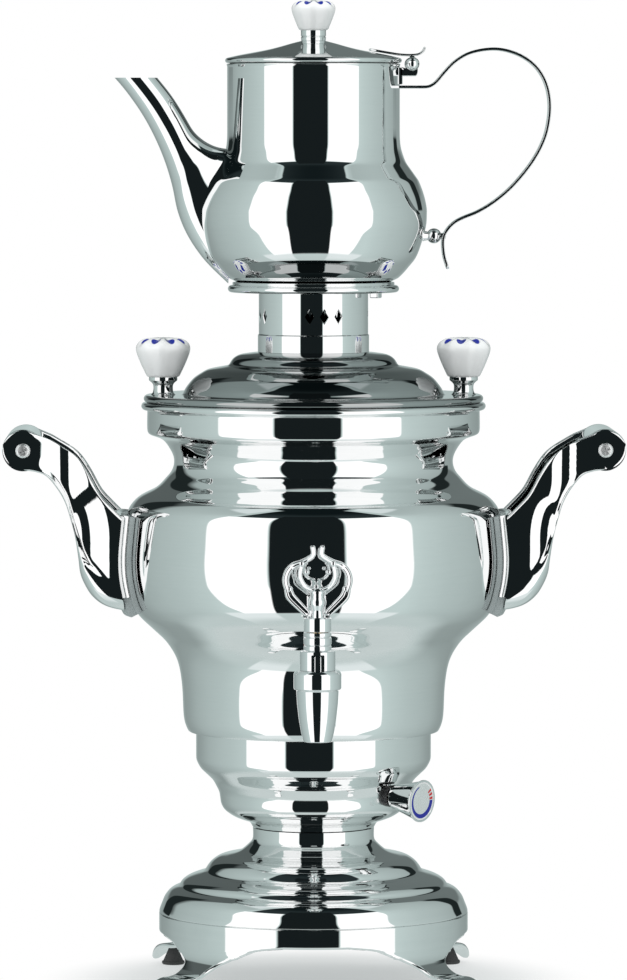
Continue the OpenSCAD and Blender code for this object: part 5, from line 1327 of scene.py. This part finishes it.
def spout_rail(stations, a, inset):
    """One line along the spout at an angle round it, from inside the pot's wall to the level mouth."""
    rail = []
    for low, high, w in stations:
        ax, az = (high[0] - low[0]) / 2, (high[1] - low[1]) / 2
        size = math.hypot(ax, az)
        r = (size - inset) * math.cos(a) / size
        rail.append(((low[0] + high[0]) / 2 + r * ax, (w - inset) * math.sin(a), (low[1] + high[1]) / 2 + r * az))
    start = max([i for i, p in enumerate(rail) if p[2] < POT_RIM_Z and in_pot(p)], default=0)
    p, q = rail[start], rail[min(start + 1, len(rail) - 1)]
    for _ in range(30):
        m = tuple((u + v) / 2 for u, v in zip(p, q))
        p, q = (m, q) if in_pot(m) else (p, m)
    rail = [p] + rail[start + 1:]
    end = next((i for i, p in enumerate(rail) if p[2] > SPOUT_Z), len(rail) - 1)
    p, q = rail[end - 1], rail[end]
    t = (SPOUT_Z - p[2]) / (q[2] - p[2])
    return rail[:end] + [tuple(u + (v - u) * t for u, v in zip(p, q))]


def make_spout():
    """The spout as two skins, whose lines start in the pot's wall and end in one level mouth."""
    count, sides, spaces = 80, 72, 84
    half = curve([(w, 0) for w in spout_half], 10)
    last = len(half) - 1
    widths = []
    for i in range(count + 1):
        t = i / count * last
        k = min(last - 1, int(t))
        widths.append(half[k][0] + (half[k + 1][0] - half[k][0]) * (t - k))
    stations = list(zip(spout_edge(spout_low, count), spout_edge(spout_high, count), widths))

    def skin(inset):
        rails = [spout_rail(stations, 2 * math.pi * k / sides, inset) for k in range(sides)]
        fars = [lengths(rail) for rail in rails]
        return [[at_length(rail, far, far[-1] * i / spaces) for rail, far in zip(rails, fars)]
                for i in range(spaces + 1)]

    piece("spout_tube", [loft(skin(0.0) + skin(SHEET)[::-1], joined=True)], mirror_steel, "spout", body="teapot",
          crease=50)


# ---- Teapot handle and hinge ----

HINGE_X, HINGE_Z = 52.5, 492.2
STRIP_Z, BALL_Z = HINGE_Z - 12.2, POT_Z + 28.8


def make_pot_handle():
    loop = [(POT_BELLY_R + x, STRIP_Z + z) for x, z in
            [(0.5, 0), (4.2, 2), (9.9, 8.6), (15.2, 13.8), (23, 18.2), (33.8, 20.2), (43.2, 19.2), (52.3, 15.4),
             (59.3, 9.2), (63.8, 0.4), (65.4, -10.7), (63.9, -22.7), (60.9, -31.2), (56.8, -38.6), (51.4, -46),
             (44, -54.2), (35.6, -61.2), (27, -66.4), (19.8, -69.3), (14.4, -72.2), (10.2, -76.8)]]
    foot = [(POT_BELLY_R + x, BALL_Z + z) for x, z in ((8.5, -2.3), (9.1, -10.5), (11.2, -17.5))]
    path = eased([(45.7, STRIP_Z), (50.0, STRIP_Z)] + curve(loop + foot), 1.2, 0.9)
    # The strip's faces are crowned, so each falls back towards the edges
    crowned = [(a - math.copysign(0.12 * (b / 6) ** 2, a), b) for a, b in rounded_bar(12.0, 1.8, 0.3)]
    last = len(path) - 1

    def at(t):
        i = round(t * last)
        end = min(i, last - i)
        pinch = (0.82, 0.95)[end] if end < 2 and i > 2 else 1.0
        return [(a * pinch, b * pinch) for a, b in crowned]

    piece("teapot_strip_handle", [swept(path, at)], mirror_steel, "pot_handle", body="teapot", crease=50)
    ball_x, ball_r, wall_x = POT_BELLY_R + 3.8, 4.0, radius_at(pot_line, BALL_Z)
    line = ([(0, wall_x - 0.5), (2.9, wall_x - 0.5), (2.6, wall_x + 0.6), (2.2, (wall_x + ball_x) / 2)]
            + [(ball_r * math.sin(a), ball_x - ball_r * math.cos(a)) for a in map(math.radians, range(38, 176, 6))]
            + [(1.5, ball_x + 3.72), (1.5, ball_x + 6.2), (0, ball_x + 6.4)])
    piece("handle_stand_off", [placed(turned(line, 64), lying("Y", z=BALL_Z))], mirror_steel, "handle_ball",
          body="teapot")


def make_hinge():
    thick, ear_y, bead_r = 1.6, 4.8, 3.7
    # Plate that follows the neck
    low, high = STRIP_Z + 1.4, HINGE_Z - 2.1
    across = [-6.4 + 12.8 * k / 16 for k in range(17)]
    shells = [loft([[(math.sqrt((47.5 - d) ** 2 - y * y), y, z) for y in across]
                    + [(math.sqrt(45.6 ** 2 - y * y), y, z) for y in across[::-1]]
                    for z, d in ((low, 0.35), (low + 0.3, 0.0), (high - 0.3, 0.0), (high, 0.35))])]
    ear = softened([(45.9, HINGE_Z - 6.4), (HINGE_X + 2.4, HINGE_Z - 6.4), (HINGE_X + 2.9, HINGE_Z - 4.0)]
                   + arc(HINGE_X, HINGE_Z, 3.0, -8, 172, 14) + [(HINGE_X - 3.0, HINGE_Z - 2.6),
                                                             (45.9, HINGE_Z - 1.6)], 0.5, 3, 30)
    for y in (-ear_y - thick, ear_y):
        shells.append(loft([[(HINGE_X + (x - HINGE_X) * k, v, HINGE_Z + (z - HINGE_Z) * k) for x, z in ear]
                            for v, k in ((y, 0.94), (y + 0.25, 1.0), (y + thick - 0.25, 1.0), (y + thick, 0.94))]))
    piece("hinge_cheeks", shells, mirror_steel, "hinge_bracket", body="teapot", crease=40)
    face, half = ear_y + thick + 0.1, ear_y + thick + bead_r * 0.8
    lie = lying("X", HINGE_X, 0, HINGE_Z)
    pin = [(0, 0.4 - half), (1.5, 0.4 - half), (1.5, half - 0.4), (0, half - 0.4)]
    shells = [placed(turned(pin, 40), lie)]
    for side in (-1, 1):
        cap = [(0, half + bead_r)] + [(bead_r * math.sin(a), half + bead_r * math.cos(a))
                                      for a in map(math.radians, range(8, 143, 6))
                                      if half + bead_r * math.cos(a) > face]
        cap += [(cap[-1][0] - 0.3, face), (0, face)]
        shells.append(placed(turned([(r, side * z) for r, z in cap], 56), lie))
    piece("hinge_pin_and_balls", shells, mirror_steel, "hinge_pin", body="teapot")
    strap = eased(curve([(HINGE_X + x, CONE_Z + z) for x, z in
                         ((-23, 3.9), (-12, 2.0), (-6, 1.1), (0, 0.9), (4, 1.5), (6.6, 3.5), (7.4, 5.6))]), 0.6, 0.5)

    def leaf(t):
        narrow = 1.0 - 0.55 * max(0.0, 1 - t * 6) ** 2
        thin = 0.55 if t in (0.0, 1.0) else 1.0
        return [(a * thin, b * narrow) for a, b in rounded_bar(9.0, 1.2, 0.5)]

    knuckle = softened([(1.56, -4.5), (2.9, -4.5), (2.9, 4.5), (1.56, 4.5)], 0.3, 3, 30)
    web = softened([(HINGE_X - 1.2, HINGE_Z), (HINGE_X + 1.2, HINGE_Z), (HINGE_X + 1.2, CONE_Z + 1.6),
                    (HINGE_X - 1.2, CONE_Z + 1.4)], 0.2, 2, 30)
    piece("lid_strap_leaf", [swept(beside(strap, 0.6), leaf), placed(turned(knuckle, 48), lie),
                             straight([(x, max(z, HINGE_Z + 2.2)) for x, z in web], (-4.2, 4.2))],
          mirror_steel, "lid_strap", body="teapot_lid", crease=45)


for make in (make_tank, make_dome, make_pedestal, make_lid, make_collar, make_tray, make_pot, make_pot_lid,
             make_foot_ring, make_glides, make_handles, make_tap, make_key, make_dial, make_ferrules, make_knobs,
             make_spout, make_pot_handle, make_hinge):
    make()

# ---- What the CAD nodes keep: their shape, with a finish ----

for finish, names in {
        plain_steel: ("base_plate", "drum_studs", "neck_bush", "handle_screws"),
        screw_steel: ("base_screws", "side_knob_screws", "pot_knob_screw", "dial_shaft"),
        bare_brass: ("heater_nuts", "tap_nut", "inlet_pins", "tap_plug"),
        element_steel: ("heater_element",),
        seal_silicone: ("heater_seals", "tap_washer"),
        black_plastic: ("thermal_cutout", "mains_inlet"),
        switch_ceramic: ("thermostat",),
        chromed_brass: ("tap_boss",)}.items():
    for name in names:
        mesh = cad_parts[name].data
        mesh.materials.clear()
        mesh.materials.append(finish)
